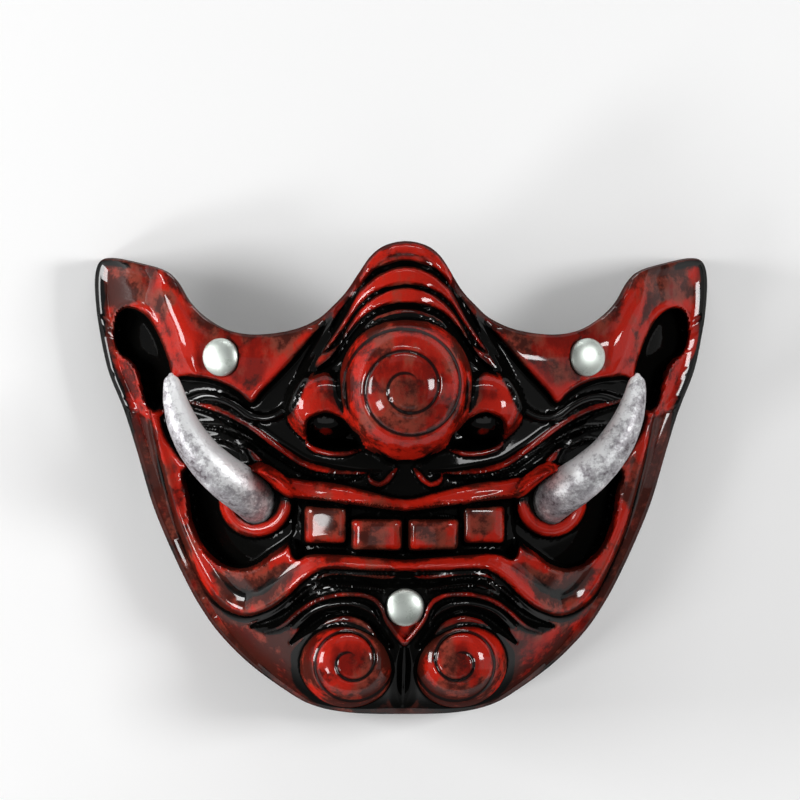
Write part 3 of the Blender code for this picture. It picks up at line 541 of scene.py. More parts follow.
def withSpiral(height, x, y, spiral):
    return withFold(height, x, y, "groove", face["spiralWidth"], face["spiralDepth"], spiralRun(*spiral))


# The plan of the face: a square sheet drawn out to the outline

def spreadOver(run, shares):
    length = np.concatenate([[0], np.cumsum(np.hypot(*np.diff(run[:, :2], axis=0).T))])
    return np.stack([np.interp(shares, length / length[-1], column) for column in run.T], -1)


def drawnPlan(s, t):
    # x, y, wall height and fall at places of the square: s runs across from the left, t down the face
    run, wing, chin = outline
    top = np.vstack([mirrored(run[wing:0:-1]), run[:wing + 1]])
    foot = np.vstack([mirrored(run[chin:-1]), run[:chin - 1:-1]])
    right = run[wing:chin + 1]
    acrossTop, acrossFoot = spreadOver(top, s), spreadOver(foot, s)
    downLeft, downRight = spreadOver(mirrored(right), t), spreadOver(right, t)
    s, t = s[..., None], t[..., None]
    corners = (1 - s) * ((1 - t) * top[0] + t * foot[0]) + s * ((1 - t) * top[-1] + t * foot[-1])
    return (1 - t) * acrossTop + t * acrossFoot + (1 - s) * downLeft + s * downRight - corners


def insetPlan(s, t, inset):
    start, end = np.zeros(s.shape), np.ones(s.shape)
    width = np.abs(drawnPlan(end, t) - drawnPlan(start, t))[..., 0]
    height = np.abs(drawnPlan(s, start) - drawnPlan(s, end))[..., 1]
    a, b = inset / width, inset / height
    return drawnPlan(a + (1 - 2 * a) * s, b + (1 - 2 * b) * t)


def insideHeights():
    # heights of the inner face on a coarse grid: a wall's thickness under the outer one, and smoothed
    counts = face["insideColumns"], face["insideRows"]
    across, down = np.meshgrid(*(np.linspace(0, 1, count + 1) for count in counts))
    plan = insetPlan(across, down, face["wall"])
    x, y, wall = np.abs(plan[..., 0]), plan[..., 1], face["wall"]
    height = heightAt(x, y) - wall
    for share in (0.5, 0.95):
        for turn in np.arange(8) * pi / 4 + share:
            moved = heightAt(np.abs(x + wall * share * cos(turn)), y + wall * share * sin(turn))
            height = np.minimum(height, moved - wall * (1 - share**2) ** 0.5)
    root = inMetres([tuskRows[0][:2]])[0]
    behind = np.hypot(x - root[0], y - root[1]) < tusk["diameter"] / 2 + 2 * wall
    socketFoot = tuskSeat() + tuskRows[0][2] * face["depth"] / 100 - tusk["socketDepth"]
    height[behind] = np.minimum(height[behind], socketFoot - wall / 2)
    for _ in range(2):
        eased = np.pad(height, 1, mode="edge")
        eased = (eased[:-2, 1:-1] + eased[2:, 1:-1] + eased[1:-1, :-2] + eased[1:-1, 2:]) / 4
        height = np.minimum(height, (height + eased) / 2)
    return height


# Maps over the plan of the right half, for the inner face and for the wash in the hollows

def mapPlaces():
    step = face["mapStep"]
    across = np.arange(0, halfWidth + 4 * step, step)
    down = np.arange(-halfHeight - 3 * step, halfHeight + 4 * step, step)
    return np.meshgrid(across, down)


def madeMaps():
    # the finished face, the plain face, and the plain face with its sunk places
    x, y = mapPlaces()
    plain = plainHeight(x, y)
    return faceHeight(x.ravel(), y.ravel()).reshape(x.shape), plain, plain - sunkDepth(x, y, sunkPlaces)


def readMap(values, x, y):
    step = face["mapStep"]
    column = np.clip(np.abs(x) / step, 0, values.shape[1] - 1.001)
    row = np.clip((y + halfHeight + 3 * step) / step, 0, values.shape[0] - 1.001)
    i, j = column.astype(int), row.astype(int)
    a, b = column - i, row - j
    upper = values[j, i] * (1 - a) + values[j, i + 1] * a
    lower = values[j + 1, i] * (1 - a) + values[j + 1, i + 1] * a
    return upper * (1 - b) + lower * b


def heightAt(x, y):
    return readMap(heightMap, x, y)


def blurredMap(values, radius):
    # a soft mean over a radius; the half face is mirrored first, so that the middle has no seam
    whole = np.hstack([values[:, :0:-1], values])
    whole = np.pad(whole, 20, mode="edge")
    tall, wide = (np.fft.fftfreq(count, face["mapStep"]) for count in whole.shape)
    soft = np.exp(-2 * (pi * radius) ** 2 * (tall[:, None] ** 2 + wide[None, :] ** 2))
    whole = np.real(np.fft.ifft2(np.fft.fft2(whole) * soft))[20:-20, 20:-20]
    return whole[:, values.shape[1] - 1:]


# The face is made flat, as two square sheets joined by strips round their edges, and then formed

outerSheet, roundOne, roundTwo, roundThree, wallFoot, rimOut, rimIn, wallInside, innerSheet = range(9)
roundTurns = {roundOne: radians(30), roundTwo: radians(60), roundThree: radians(90)}


def deselectAll():
    if bpy.context.object and bpy.context.object.mode != "OBJECT":
        bpy.ops.object.mode_set(mode="OBJECT")
    bpy.ops.object.select_all(action="DESELECT")


def useOnly(piece):
    deselectAll()
    bpy.context.view_layer.objects.active = piece
    piece.select_set(True)


def flatSheets():
    deselectAll()
    cells = {"x_subdivisions": face["columns"], "y_subdivisions": face["rows"], "size": 1}
    bpy.ops.mesh.primitive_grid_add(**cells)
    piece = bpy.context.object
    bpy.ops.object.mode_set(mode="EDIT")
    bpy.ops.mesh.select_all(action="SELECT")
    bpy.ops.mesh.region_to_loop()
    for _ in range(roundOne, innerSheet):
        bpy.ops.mesh.extrude_edges_move(TRANSFORM_OT_translate={"value": (0, 0, 1)})
    bpy.ops.mesh.primitive_grid_add(location=(0, 0, innerSheet), **cells)
    bpy.ops.mesh.select_all(action="DESELECT")
    sheets = bmesh.from_edit_mesh(piece.data)
    for edge in sheets.edges:
        edge.select = edge.is_boundary
    bmesh.update_edit_mesh(piece.data)
    bpy.ops.mesh.bridge_edge_loops()
    bpy.ops.object.mode_set(mode="OBJECT")
    return piece


def formFace(piece):
    # every vertex goes from the flat sheets to its place on the mask
    flat = np.empty(len(piece.data.vertices) * 3)
    piece.data.vertices.foreach_get("co", flat)
    flat = flat.reshape(-1, 3)
    s, t, strip = flat[:, 0] + 0.5, 0.5 - flat[:, 1], np.round(flat[:, 2]).astype(int)
    column, row = np.round(s * face["columns"]).astype(int), np.round(t * face["rows"]).astype(int)
    rightHalf = face["columns"] // 2
    across, down = np.meshgrid(np.linspace(0.5, 1, rightHalf + 1), np.linspace(0, 1, face["rows"] + 1))
    plan = insetPlan(across, down, face["edgeRound"])
    surface = faceHeight(plan[..., 0].ravel(), plan[..., 1].ravel()).reshape(across.shape)
    surface = np.hstack([surface[:, :0:-1], surface])
    inside = insideHeights()
    placed = np.zeros(flat.shape)
    for which in range(innerSheet + 1):
        here = strip == which
        inset = {outerSheet: face["edgeRound"], rimOut: face["rimChamfer"]}.get(which, 0)
        if which in roundTurns:
            inset = face["edgeRound"] * (1 - sin(roundTurns[which]))
        if which == rimIn:
            inset = face["wall"] - face["rimChamfer"]
        if which >= wallInside:
            inset = face["wall"]
        plan = insetPlan(s[here], t[here], inset)
        height = surface[row[here], column[here]]
        if which == outerSheet:
            for _, *spiral, both in spirals:
                if not both:
                    height = withSpiral(height, plan[:, 0], plan[:, 1], spiral)
        if which in roundTurns:
            height = height - face["edgeRound"] * (1 - cos(roundTurns[which]))
        if which in (wallFoot, rimOut, rimIn, wallInside):
            height = np.maximum(height - plan[:, 2] * face["depth"] / 100, 0)
        if which in (wallFoot, wallInside):
            height = height + face["rimChamfer"]
        if which == innerSheet:
            i, j = s[here] * face["insideColumns"], t[here] * face["insideRows"]
            height = softRead(inside, i, j)
        placed[here] = np.stack([plan[:, 0], plan[:, 1], height], 1)
    piece.data.vertices.foreach_set("co", placed.ravel())
    piece.data.update()
    return strip


def softRead(values, column, row):
    # a smooth surface through a coarse grid of heights
    def weights(f):
        return ((-f + 2 * f**2 - f**3) / 2, (2 - 5 * f**2 + 3 * f**3) / 2, (f + 4 * f**2 - 3 * f**3) / 2,
                (f**3 - f**2) / 2)
    i = np.clip(column.astype(int), 0, values.shape[1] - 2)
    j = np.clip(row.astype(int), 0, values.shape[0] - 2)
    padded = np.pad(values, 1, mode="reflect", reflect_type="odd")
    total = 0
    for b, down in enumerate(weights(row - j)):
        for a, across in enumerate(weights(column - i)):
            total = total + down * across * padded[j + b, i + a]
    return total


def thinInside(piece, strip):
    # the inner face has no relief, so most of its triangles go
    group = piece.vertex_groups.new(name="inside")
    group.add([int(i) for i in np.flatnonzero(strip == innerSheet)], 1, "REPLACE")
    total = 2 * len(piece.data.polygons)
    inner = 2 * face["columns"] * face["rows"]
    thin = piece.modifiers.new("thin", "DECIMATE")
    thin.vertex_group = "inside"
    thin.ratio = (total - inner + face["insideTriangles"]) / total
    applyModifier(piece, thin)
    piece.vertex_groups.remove(piece.vertex_groups["inside"])


def applyModifier(piece, modifier):
    modifier.show_viewport = False  # so that it is worked out once, when it is applied
    useOnly(piece)
    bpy.ops.object.modifier_apply(modifier=modifier.name)


def cutAway(piece, cutters):
    # takes the cutters' shapes out of a piece, and removes the cutters
    useOnly(cutters[0])
    for cutter in cutters:
        cutter.select_set(True)
    bpy.ops.object.join()
    cutter = bpy.context.object
    modifier = piece.modifiers.new("cut", "BOOLEAN")
    modifier.operation = "DIFFERENCE"
    modifier.object = cutter
    applyModifier(piece, modifier)
    bpy.data.objects.remove(cutter)


def placeInMesh(piece):
    useOnly(piece)
    bpy.ops.object.transform_apply(location=True, rotation=True, scale=True)


def facesOutward(piece):
    useOnly(piece)
    bpy.ops.object.mode_set(mode="EDIT")
    bpy.ops.mesh.select_all(action="SELECT")
    bpy.ops.mesh.remove_doubles(threshold=1e-6)
    bpy.ops.mesh.normals_make_consistent(inside=False)
    bpy.ops.object.mode_set(mode="OBJECT")


def finishPiece(piece, name, node, material, angle=40):
    useOnly(piece)
    bpy.ops.object.shade_smooth_by_angle(angle=radians(angle))
    piece.name = piece.data.name = name
    piece.data.materials.clear()
    piece.data.materials.append(material)
    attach(piece, "root")
    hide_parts(node)


# Tusks: a curve with a round section that tapers to the tip

def tuskCurve(side, grow):
    run, _ = smoothRun(tuskRows, step=0.4)
    middles = run[:, :3] * np.array([side * halfWidth, halfHeight, face["depth"]]) / 100
    middles[:, 2] += tuskSeat()
    length = np.concatenate([[0], np.cumsum(np.linalg.norm(np.diff(middles, axis=0), axis=1))])
    stations = np.linspace(0, length[-1], int(length[-1] / tusk["step"]) + 1)
    middles = np.stack([np.interp(stations, length, column) for column in middles.T], 1)
    radii = np.interp(stations, length, run[:, 3]) * tusk["diameter"] / 2 + grow
    first = Vector(middles[1] - middles[0]).normalized()
    last = Vector(middles[-1] - middles[-2]).normalized()
    middles[0] -= first * (tusk["socketDepth"] + grow)
    if grow:
        middles[-1] += last * grow
    else:  # the tip is rounded off
        radii = np.append(radii, [radii[-1] * 0.75, radii[-1] * 0.3])
        middles = np.vstack([middles, *(middles[-1] + last * radii[-3] * share for share in (0.5, 0.75))])
    curve = bpy.data.curves.new("tuskCurve", "CURVE")
    curve.dimensions = "3D"
    curve.bevel_depth = 1
    curve.bevel_resolution = tusk["sides"]
    curve.use_fill_caps = True
    line = curve.splines.new("POLY")
    line.points.add(len(middles) - 1)
    for point, middle, radius in zip(line.points, middles, radii):
        point.co = (*middle, 1)
        point.radius = radius
    piece = bpy.data.objects.new("tuskCurve", curve)
    bpy.context.scene.collection.objects.link(piece)
    useOnly(piece)
    bpy.ops.object.convert(target="MESH")
    piece = bpy.context.object
    # the root's end is cut off flat, so that it stays clear of the inner face
    foot = middles[0][2]
    for vert in piece.data.vertices:
        if vert.co.z < foot or (Vector(middles[0]) - vert.co).length < radii[0] * 1.01:
            vert.co -= first * (vert.co.z - foot) / first.z
    facesOutward(piece)
    return piece


def makeTusk(side, name, node, material):
    piece = tuskCurve(side, 0)
    # hand-cast: its surface isn't quite even
    for vert in piece.data.vertices:
        wave = sin(vert.co.y * 700 + side) * sin(vert.co.z * 520 + vert.co.x * 300) - 1
        vert.co -= vert.normal * tusk["unevenness"] * (wave + 2) / 2
    # painted shade and grime: the side whose normal turns down and out, the outer side of the bend, is darkened as
    # painted shade with smudges, and it is also darker round the root
    x, y = inMetres([tuskRows[0][:2]])[0]
    root, shadeAndGrime = Vector((side * x, y)), []
    for vert in piece.data.vertices:
        outer = 0.5 + 0.5 * (side * vert.normal.x * 0.6 - vert.normal.y * 0.8)
        near = 1 - (vert.co.to_2d() - root).length / tusk["rootDarkeningReach"]
        shadeAndGrime.append(max(outer, near * 0.9))
    keepOnMesh(piece, "low", np.array(shadeAndGrime))
    finishPiece(piece, name, node, material)


# Studs: a domed cap, a shank and a back disc, spun round their axis

def stoodOn(out, up, side):
    # where a stud sits: its axis leans with the plain face
    x, y = inMetres([(out, up)])[0]
    step = face["foldWidth"] / 4
    here, beyond, above = plainHeight(np.array([x, x + step, x]), np.array([y, y, y + step]))
    lean = Vector((-(beyond - here) / step * stud["lean"], -(above - here) / step * stud["lean"], 1))
    if out == 0:
        lean.x = 0
    lean.x *= side
    seat = Vector((side * x, y, here)) - lean.normalized() * stud["sink"]
    return Matrix.Translation(seat) @ lean.to_track_quat("Z", "Y").to_matrix().to_4x4()


def spunPiece(profile, steps, place):
    mesh = bpy.data.meshes.new("profile")
    mesh.from_pydata([(radius, 0, height) for radius, height in profile],
                     [(i, i + 1) for i in range(len(profile) - 1)], [])
    piece = bpy.data.objects.new("profile", mesh)
    bpy.context.scene.collection.objects.link(piece)
    useOnly(piece)
    bpy.ops.object.mode_set(mode="EDIT")
    bpy.ops.mesh.select_all(action="SELECT")
    bpy.ops.mesh.spin(steps=steps, angle=2 * pi, center=(0, 0, 0), axis=(0, 0, 1))
    bpy.ops.object.mode_set(mode="OBJECT")
    piece.matrix_world = place
    placeInMesh(piece)
    facesOutward(piece)
    return piece


def makeStud(name, node, place, material):
    cap, shank, disc = stud["capDiameter"] / 2, stud["shankDiameter"] / 2, stud["discDiameter"] / 2
    fit, under, thick = tusk["fitGap"], -stud["grip"] - tusk["fitGap"], stud["discThickness"]
    edge = stud["capEdge"]
    profile = [(0, fit + edge + stud["capRise"])]
    for step in range(1, 13):
        turn = radians(90 * step / 12)
        profile.append((cap * sin(turn), fit + edge + stud["capRise"] * cos(turn)))
    profile += [(cap, fit + edge * 0.4), (cap - edge * 0.4, fit), (shank, fit), (shank, under)]
    profile += [(disc - edge / 3, under), (disc, under - edge / 3)]
    profile += [(disc, under - thick + edge / 3), (disc - edge / 3, under - thick), (0, under - thick)]
    finishPiece(spunPiece(profile, stud["steps"], place), name, node, material, 50)


def studRoom(place):
    cap, disc = stud["capDiameter"] / 2 + stud["room"], stud["discDiameter"] / 2 + stud["room"]
    shank = stud["shankDiameter"] / 2 + tusk["fitGap"]
    high, low = stud["sink"] + 2 * stud["capRise"], -stud["grip"] - 4 * stud["discThickness"]
    profile = [(0, high), (cap, high), (cap, 0), (shank, 0), (shank, -stud["grip"]), (disc, -stud["grip"])]
    return spunPiece(profile + [(disc, low), (0, low)], 48, place)


# Shader maths: a socket that sums and products can be written with

class Value:
    def __init__(self, paint, socket):
        self.paint = paint
        self.socket = socket

    def math(self, operation, *values):
        return self.paint.node("Math", {"operation": operation}, dict(enumerate(values)))

    def __add__(self, other):
        return self.math("ADD", self, other)

    def __sub__(self, other):
        return self.math("SUBTRACT", self, other)

    def __rsub__(self, other):
        return self.math("SUBTRACT", other, self)

    def __mul__(self, other):
        return self.math("MULTIPLY", self, other)

    def __truediv__(self, other):
        return self.math("DIVIDE", self, other)

    def __pow__(self, other):
        return self.math("POWER", self, other)

    __radd__, __rmul__ = __add__, __mul__

    def between(self, low, high):
        # 0 at low and 1 at high, softly
        return self.paint.node("MapRange", {"interpolation_type": "SMOOTHSTEP"},
                               {0: self, 1: low, 2: high, 3: 0, 4: 1})


class Paint:
    def __init__(self, name, **constants):
        self.material = bpy.data.materials.new(name)
        self.material.use_nodes = True
        self.nodes = self.material.node_tree.nodes
        self.links = self.material.node_tree.links
        self.shader = self.nodes["Principled BSDF"]
        for key, value in constants.items():
            self.shader.inputs[key.replace("_", " ")].default_value = value
        self.place = self.node("TexCoord", {}, {}, "Object")

    def node(self, kind, settings, values, output=0):
        # any node: its settings first, then the values or links of its sockets
        made = self.nodes.new("ShaderNode" + kind)
        for key, value in settings.items():
            setattr(made, key, value)
        for key, value in values.items():
            self.put(made.inputs[key], value)
        return Value(self, made.outputs[output])

    def put(self, entry, value):
        if isinstance(value, Value):
            self.links.new(value.socket, entry)
        elif isinstance(value, tuple) and len(value) == 3 and entry.type == "RGBA":
            entry.default_value = (*value, 1)
        else:
            entry.default_value = value

    def drive(self, **values):
        for key, value in values.items():
            self.put(self.shader.inputs[key.replace("_", " ")], value)

    def noise(self, size, detail=3, rough=0.55, stretch=None):
        # a noise whose features are about this size in metres
        place = self.place
        if stretch:
            place = self.node("VectorMath", {"operation": "MULTIPLY"}, {0: place, 1: stretch})
        return self.node("TexNoise", {},
                         {"Vector": place, "Scale": 1 / size, "Detail": detail, "Roughness": rough})

    def mix(self, share, first, second):
        # inputs 6 and 7 are the two colours, and output 2 their mix
        return self.node("Mix", {"data_type": "RGBA", "clamp_factor": True}, {0: share, 6: first, 7: second}, 2)

    def read(self, name):
        return self.node("Attribute", {"attribute_name": name}, {}, "Fac")

    def bump(self, height, strength, distance):
        return self.node("Bump", {}, {"Strength": strength, "Distance": distance, "Height": height})


def spiralLine(paint, spiral, lineWidth):
    # 1 on the line of a spiral groove, so that its wash is crisp
    _, atOut, atUp, first, last, turns, start, both = spiral
    middle = inMetres([(atOut, atUp)])[0]
    first, last = first * halfWidth / 100, last * halfWidth / 100
    pitch = (last - first) / abs(turns)
    parts = paint.node("SeparateXYZ", {}, {0: paint.place})
    x, y = parts, Value(paint, parts.socket.node.outputs[1])
    x = x.math("ABSOLUTE", x) - middle[0] if both else x - middle[0]
    y = y - middle[1]
    radius = (x * x + y * y) ** 0.5
    angle = y.math("ARCTAN2", y, x) * (1 / (2 * pi)) - start / 360
    if turns < 0:
        angle = angle * -1
    phase = (radius - first) / pitch - angle
    away = phase.math("ABSOLUTE", phase.math("FRACT", phase + 0.5) - 0.5) * pitch
    line = 1 - away.between(lineWidth * 0.3, lineWidth * 0.75)
    inside = radius.between(first - pitch * 0.12, first) * (1 - radius.between(last, last + pitch * 0.1))
    return line * inside


# Finishes

# The lacquer's colours: crest is a brighter red that partly stands in for a highlight on the crests; deep is the dark
# red of dull lacquer and of painted shade in hollows, on side walls and on steep slopes; the black of the wash also
# serves as painted shade on side walls and steep slopes
lacquer = {
    "crest": (0.44, 0.014, 0.006),
    "red": (0.165, 0.0055, 0.0025),
    "brown": (0.170, 0.048, 0.030),
    "deep": (0.026, 0.0045, 0.003),
    "wash": (0.0020, 0.0020, 0.0018),
    "roughness": 0.30,
    "lineWidth": 0.0009,
    "coat": 0.90,
    "dullAndShade": 0.38,
    "dullAndShadeFrom": (0.05, 0.95),
    "dullAndShadeBy": {"hollow": 0.6, "groove": 0.8, "edge": 0.6, "steep": 0.75, "smudge": 0.9, "crest": -0.8,
                 "uneven": 2.8},
    "washAndShadeFrom": (0.35, 0.75),
    "washAndShadeBy": {"hollow": 1.25, "groove": 0.95, "edge": 1.15, "steep": 0.22, "smudge": 0.42, "uneven": 0.6,
                 "crest": -1.5},
}


faceMarks = ("groove", "hollow", "crest", "edge", "inside", "steep", "matt", "smudge")


def weighed(shares, marks, total=0):
    for name, share in shares.items():
        total = total + marks[name] * share
    return total


def lacquerPaint():
    paint = Paint("redLacquer", Coat_Roughness=0.075, Coat_IOR=1.45, Specular_IOR_Level=0.0)
    marks = {name: paint.read(name) for name in faceMarks}
    hollow, crest, edge, inside, steep, matt, smudge = (marks[name] for name in faceMarks[1:])
    cloud, blotch, speck = paint.noise(0.030, 3), paint.noise(0.0085, 5, 0.62), paint.noise(0.0019, 4, 0.7)
    smear = paint.noise(0.010, 4, 0.6, stretch=(1.7, 0.8, 0.6))
    uneven = (cloud - 0.5) * 1.1 + (blotch - 0.5) * 1.5 + (speck - 0.5) * 0.6
    smudge = smudge * (1 + (blotch - 0.5) * 2.5)
    lines = spiralLine(paint, spirals[0], lacquer["lineWidth"])
    lines = lines.math("MAXIMUM", lines, spiralLine(paint, spirals[1], lacquer["lineWidth"]))
    lines = lines * (1 - inside) * (1 - edge)
    marks.update(smudge=smudge, uneven=uneven)
    # the black wash in hollows, grooves and smudges is the lacquer's own; on the side walls and steep slopes the same
    # black is painted shade
    washAndShade = weighed(lacquer["washAndShadeBy"], marks).between(*lacquer["washAndShadeFrom"])
    washAndShade = washAndShade.math("MAXIMUM", washAndShade, lines * 0.92)
    # painted shade and dull lacquer: the red darkens towards deep red in hollows and grooves, on the side walls and
    # on steep slopes, and less on crests, beside random dull blotches and smudges
    dullAndShade = weighed(lacquer["dullAndShadeBy"], marks, lacquer["dullAndShade"]).between(*lacquer["dullAndShadeFrom"])
    browned = (smear - 0.5 + (cloud - 0.5) * 0.8 + smudge * 0.6 - crest * 0.25 + 0.12).between(0, 0.24)
    # painted highlight: the crests, and the folds that keep their red, turn a brighter red, broken by random smears
    # and blotches
    bright = (crest * 1.15 + (smear - 0.5) * 1.6 - (blotch - 0.5) * 1.2 - hollow * 0.6 - 0.05).between(0, 0.80)
    color = paint.mix(bright, lacquer["red"], lacquer["crest"])
    color = paint.mix(browned * 0.7, color, lacquer["brown"])
    color = paint.mix(dullAndShade * 0.85, color, lacquer["deep"])
    color = paint.mix(washAndShade, color, lacquer["wash"])
    color = paint.mix(inside, color, lacquer["wash"])
    rough = lacquer["roughness"] + washAndShade * 0.05 + (speck - 0.5) * 0.15 + inside * 0.25
    relief = speck * 0.22 + blotch * 0.78
    normal = paint.bump(relief - lines * 0.4, 0.8, 0.0011)
    coat = lacquer["coat"] * (1 - steep * 0.97) * (1 - inside * 0.8) * (1 - matt * 0.6)
    paint.drive(Base_Color=color, Roughness=rough, Coat_Weight=coat, Normal=normal)
    return paint.material


silver = {
    # the near-white bright silver partly stands in for the highlight on the upper side
    "bright": (0.93, 0.94, 0.95),
    "grey": (0.40, 0.385, 0.41),
    "smudge": (0.060, 0.035, 0.045),
}


def silverPaint():
    paint = Paint("shadedSmudgedSilver", Coat_Roughness=0.12)
    low = paint.read("low")
    cloud, blotch, speck = paint.noise(0.009, 4), paint.noise(0.0030, 6, 0.72), paint.noise(0.0009, 4, 0.75)
    uneven = (cloud - 0.5) * 1.2 + (blotch - 0.5) * 2.0 + (speck - 0.5) * 1.1
    # painted shade: the low side turns from bright silver to grey and smudged, beside random smudges on the silver
    greyedAndShaded = (0.12 + low * 0.85 + uneven * 1.1).between(0.25, 0.85)
    smudged = (low * 0.75 + uneven * 1.3).between(0.62, 1.2)
    color = paint.mix(greyedAndShaded, silver["bright"], silver["grey"])
    color = paint.mix(smudged * 0.9, color, silver["smudge"])
    normal = paint.bump(blotch * 0.6 + speck * 0.4, 0.7, 0.0005)
    rough = 0.31 + smudged * 0.18 + speck * 0.1
    paint.drive(Base_Color=color, Metallic=0.45 - smudged * 0.35, Roughness=rough, Coat_Weight=0.3,
                Normal=normal)
    return paint.material


nickel = {
    "bright": (0.72, 0.78, 0.73),
    "stained": (0.40, 0.46, 0.40),
}


def nickelPaint():
    paint = Paint("polishedNickel")
    cloud, speck = paint.noise(0.003, 4, 0.6), paint.noise(0.0006, 3, 0.7)
    stained = (cloud * 0.8 + speck * 0.35).between(0.58, 0.85)
    color = paint.mix(stained, nickel["bright"], nickel["stained"])
    paint.drive(Base_Color=color, Metallic=1.0, Roughness=0.44 + stained * 0.12 + speck * 0.05,
                Normal=paint.bump(cloud + speck * 0.5, 0.15, 0.0002))
    return paint.material


# What the wash, the wear, the painted shade and the painted highlights follow, kept on the mesh for the finishes to
# read

def keepOnMesh(piece, name, values):
    layer = piece.data.attributes.new(name, "FLOAT", "POINT")
    layer.data.foreach_set("value", np.clip(values, 0, 1).astype(np.float32))


def pointsOf(piece):
    found = np.empty(len(piece.data.vertices) * 3)
    piece.data.vertices.foreach_get("co", found)
    return found.reshape(-1, 3)


def foldMap(names, x, y, widen=1):
    # 1 on the crests of these folds
    found = np.zeros(x.shape)
    for name, shape, width, _, route in folds:
        if name in names:
            run, _ = smoothRun(inMetres(acrossMiddle(route)))
            one = withFold(np.zeros(x.shape), x, y, shape, widen * width * face["foldWidth"], 1, run)
            found = np.maximum(found, one)
    return found


def markFace(piece):
    points = pointsOf(piece)
    x, y, z = points.T
    across, down = (axis.ravel() for axis in mapPlaces())
    kept = foldMap(keptRed, across, down).reshape(heightMap.shape)
    dark = foldMap(keptBlack, across, down, 1.5).reshape(heightMap.shape)
    filled, shown = (sunkDepth(across, down, places).reshape(heightMap.shape) for places in (washedPlaces, redPlaces))
    filled, shown = (np.clip(depth / face["hollowDepth"], 0, 1) for depth in (filled, shown))
    fine = blurredMap(heightMap, 0.0009) - heightMap
    middling = blurredMap(heightMap, 0.0022) - heightMap
    broad = blurredMap(heightMap, 0.0050) - heightMap
    raised = ease((heightMap - bareMap - 0.0026) / 0.0018)
    kept, filled = np.maximum(kept, shown), filled * (1 - shown)
    sunk = np.clip((plainMap - bareMap) / 0.0034, 0, 1) * (1 - raised)
    covered = np.clip(dark * 1.4, 0, 1) * (1 - kept)
    chin = ease((-0.044 - down.reshape(heightMap.shape)) / 0.008)
    hollow = np.maximum.reduce([sunk, filled, covered, broad / (0.0045 + 0.004 * chin)])
    # on the convex crests the wash is wiped off, and they also get a brighter red as a painted highlight
    wipedAndHighlit = np.clip(middling / -0.0011, 0, 0.7) * (1 - np.maximum(sunk, filled)) * (1 - covered)
    crest = np.maximum(kept * 0.9, wipedAndHighlit)
    gap, _, _ = besideRun(outline[0], np.abs(x), y)
    depth = heightAt(x, y) - z
    inside = np.clip((depth - 0.0012) / 0.001, 0, 1) * np.clip((gap - face["wall"] * 0.7) / 0.0008, 0, 1)
    wing = ease((np.abs(x) - 0.080) / 0.004)
    side = np.clip((depth - 0.0012) / 0.003, 0, 1)
    inland = ease((gap - 0.0008) / 0.0045)
    slopes = np.empty(len(points) * 3)
    piece.data.vertices.foreach_get("normal", slopes)
    slopes = slopes.reshape(-1, 3)
    # painted shade and wash: the walls that face sideways and down turn black, partly the wash and partly painted
    # shade on the sides turned away from the light, while the upper edges stay red
    band = np.clip(1.3 - gap / 0.0035, 0, 1) * (0.15 + 0.85 * wing)
    wall = np.maximum(side * (0.4 + 0.6 * wing), band) * (1 - 0.85 * ease(slopes[:, 1] * 2 - 0.3))
    smudged = np.zeros(len(points))
    for which, out, up, reach, strength in smudges:
        (atX, atY), far = inMetres([(which * out, up)])[0], reach * halfWidth / 100
        smudged = np.maximum(smudged, strength * np.exp(-((x - atX) ** 2 + (y - atY) ** 2) / far**2 * 1.5))
    matt = np.maximum(sunk, filled) * (1 - np.clip(dark * 2, 0, 1)) * (1 - kept)
    # the jaw's outer strip stays red, so its shallow valley holds little of the wash
    strip = ease((0.0100 - gap) / 0.003) * (1 - wing)
    strip = strip * ease((np.abs(x) - 0.045) / 0.01) * ease((0.022 - y) / 0.004)
    inland = inland * (1 - 0.85 * strip)
    marks = (
        (readMap(fine, x, y) / 0.00045 + readMap(middling, x, y) / 0.0016) * inland,
        readMap(hollow, x, y) * inland,
        readMap(crest, x, y) * (1 - side),
        wall,
        inside,
        ease((0.80 - slopes[:, 2]) / 0.45),
        readMap(matt, x, y),
        smudged,
    )
    for name, values in zip(faceMarks, marks):
        keepOnMesh(piece, name, values)


# The stage: a pale floor, soft lamps and the camera

stageSizes = {
    "floor": 12,
    "cameraHeight": 3.04,
    "lens": 450,
    "yaw": 1.5,
    "frameMiddle": (0.0, 0.0237),
    "room": 0.12,
    "glow": 0.12,
    "tones": ((0.86, 0.86, 0.86), (0.88, 0.88, 0.88)),
}


# Lamps: name, place, size and power
lamps = (
    ("leftWindow", (-1.10, 0.10, 0.36), (0.44, 0.42), 10),
    ("leftPane", (-0.95, -0.50, 0.85), (0.26, 0.30), 4.2),
    ("rightWindow", (0.80, 0.12, 0.95), (0.26, 0.38), 6.2),
    ("topStrip", (0.0, 1.40, 0.75), (1.1, 0.10), 4.6),
    ("topPanel", (0.0, 1.6, 1.45), (2.2, 0.8), 1.4),
    ("leftPanel", (-1.7, -0.2, 0.95), (0.9, 2.2), 1.4),
    ("rightPanel", (1.7, -0.2, 0.95), (0.9, 2.2), 2.6),
    ("lowPanel", (0.0, -1.2, 2.0), (1.3, 0.8), 1.6),
)


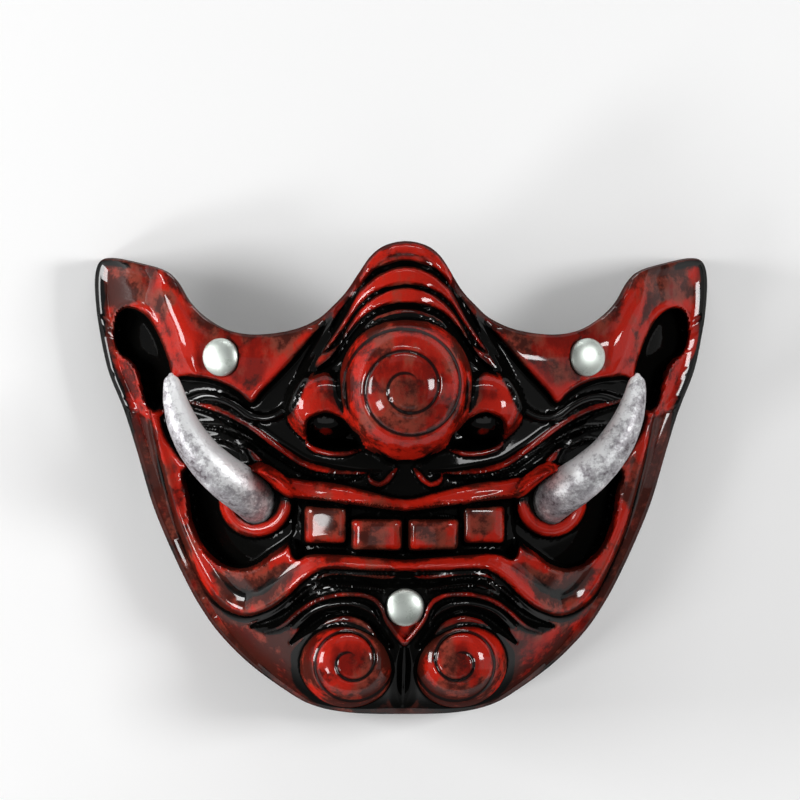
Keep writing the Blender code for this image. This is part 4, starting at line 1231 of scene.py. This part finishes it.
def lamp(name, place, size, power):
    aim = (0, 0, 0.04)
    light = bpy.data.lights.new(name, "AREA")
    light.shape = "RECTANGLE"
    light.size, light.size_y = size
    light.energy = power
    item = bpy.data.objects.new(name, light)
    bpy.context.scene.collection.objects.link(item)
    item.location = place
    item.rotation_euler = (Vector(aim) - Vector(place)).to_track_quat("-Z", "Y").to_euler()


def setStage():
    deselectAll()
    bpy.ops.mesh.primitive_plane_add(size=stageSizes["floor"])
    floor = bpy.context.object
    floor.name = "floor"
    paper = Paint("paleFloor", Roughness=0.9, Emission_Strength=stageSizes["glow"])
    tone = paper.noise(0.6, 2)
    paper.drive(Base_Color=paper.mix(tone, *stageSizes["tones"]))
    floor.data.materials.append(paper.material)
    for name, place, size, power in lamps:
        lamp(name, place, size, power)
    world = bpy.data.worlds.new("softRoom")
    bpy.context.scene.world = world
    world.use_nodes = True
    sky = world.node_tree.nodes["Background"].inputs
    sky["Color"].default_value = (1, 1, 1, 1)
    sky["Strength"].default_value = stageSizes["room"]
    bpy.context.scene.view_settings.view_transform = "Standard"
    camera = bpy.data.cameras.new("camera")
    camera.lens = stageSizes["lens"]
    camera.sensor_width = 36
    eye = bpy.data.objects.new("camera", camera)
    bpy.context.scene.collection.objects.link(eye)
    yaw = Matrix.Rotation(radians(-stageSizes["yaw"]), 4, "Y")
    eye.matrix_world = (Matrix.Translation((*stageSizes["frameMiddle"], 0)) @ yaw
                        @ Matrix.Translation((0, 0, stageSizes["cameraHeight"])))
    bpy.context.scene.camera = eye


# The making

outline = outlineRun()
print("reading the face's relief")
heightMap, plainMap, bareMap = madeMaps()
red, metal, bright = lacquerPaint(), silverPaint(), nickelPaint()

print("forming the face")
shell = flatSheets()
thinInside(shell, formFace(shell))
facesOutward(shell)

print("cutting the seats for the tusks and the studs")
cutters = [tuskCurve(side, tusk["fitGap"]) for side in (-1, 1)]
cutters += [studRoom(stoodOn(out, up, side)) for _, _, out, up, side in stud["places"]]
cutAway(shell, cutters)
markFace(shell)
finishPiece(shell, "faceShell", "face_shell", red, 45)

print("making the tusks and the studs")
for side, name, node in ((-1, "tuskLeft", "tusk_left"), (1, "tuskRight", "tusk_right")):
    makeTusk(side, name, node, metal)
for name, node, out, up, side in stud["places"]:
    makeStud(name, node, stoodOn(out, up, side), bright)

print("setting the stage")
setStage()
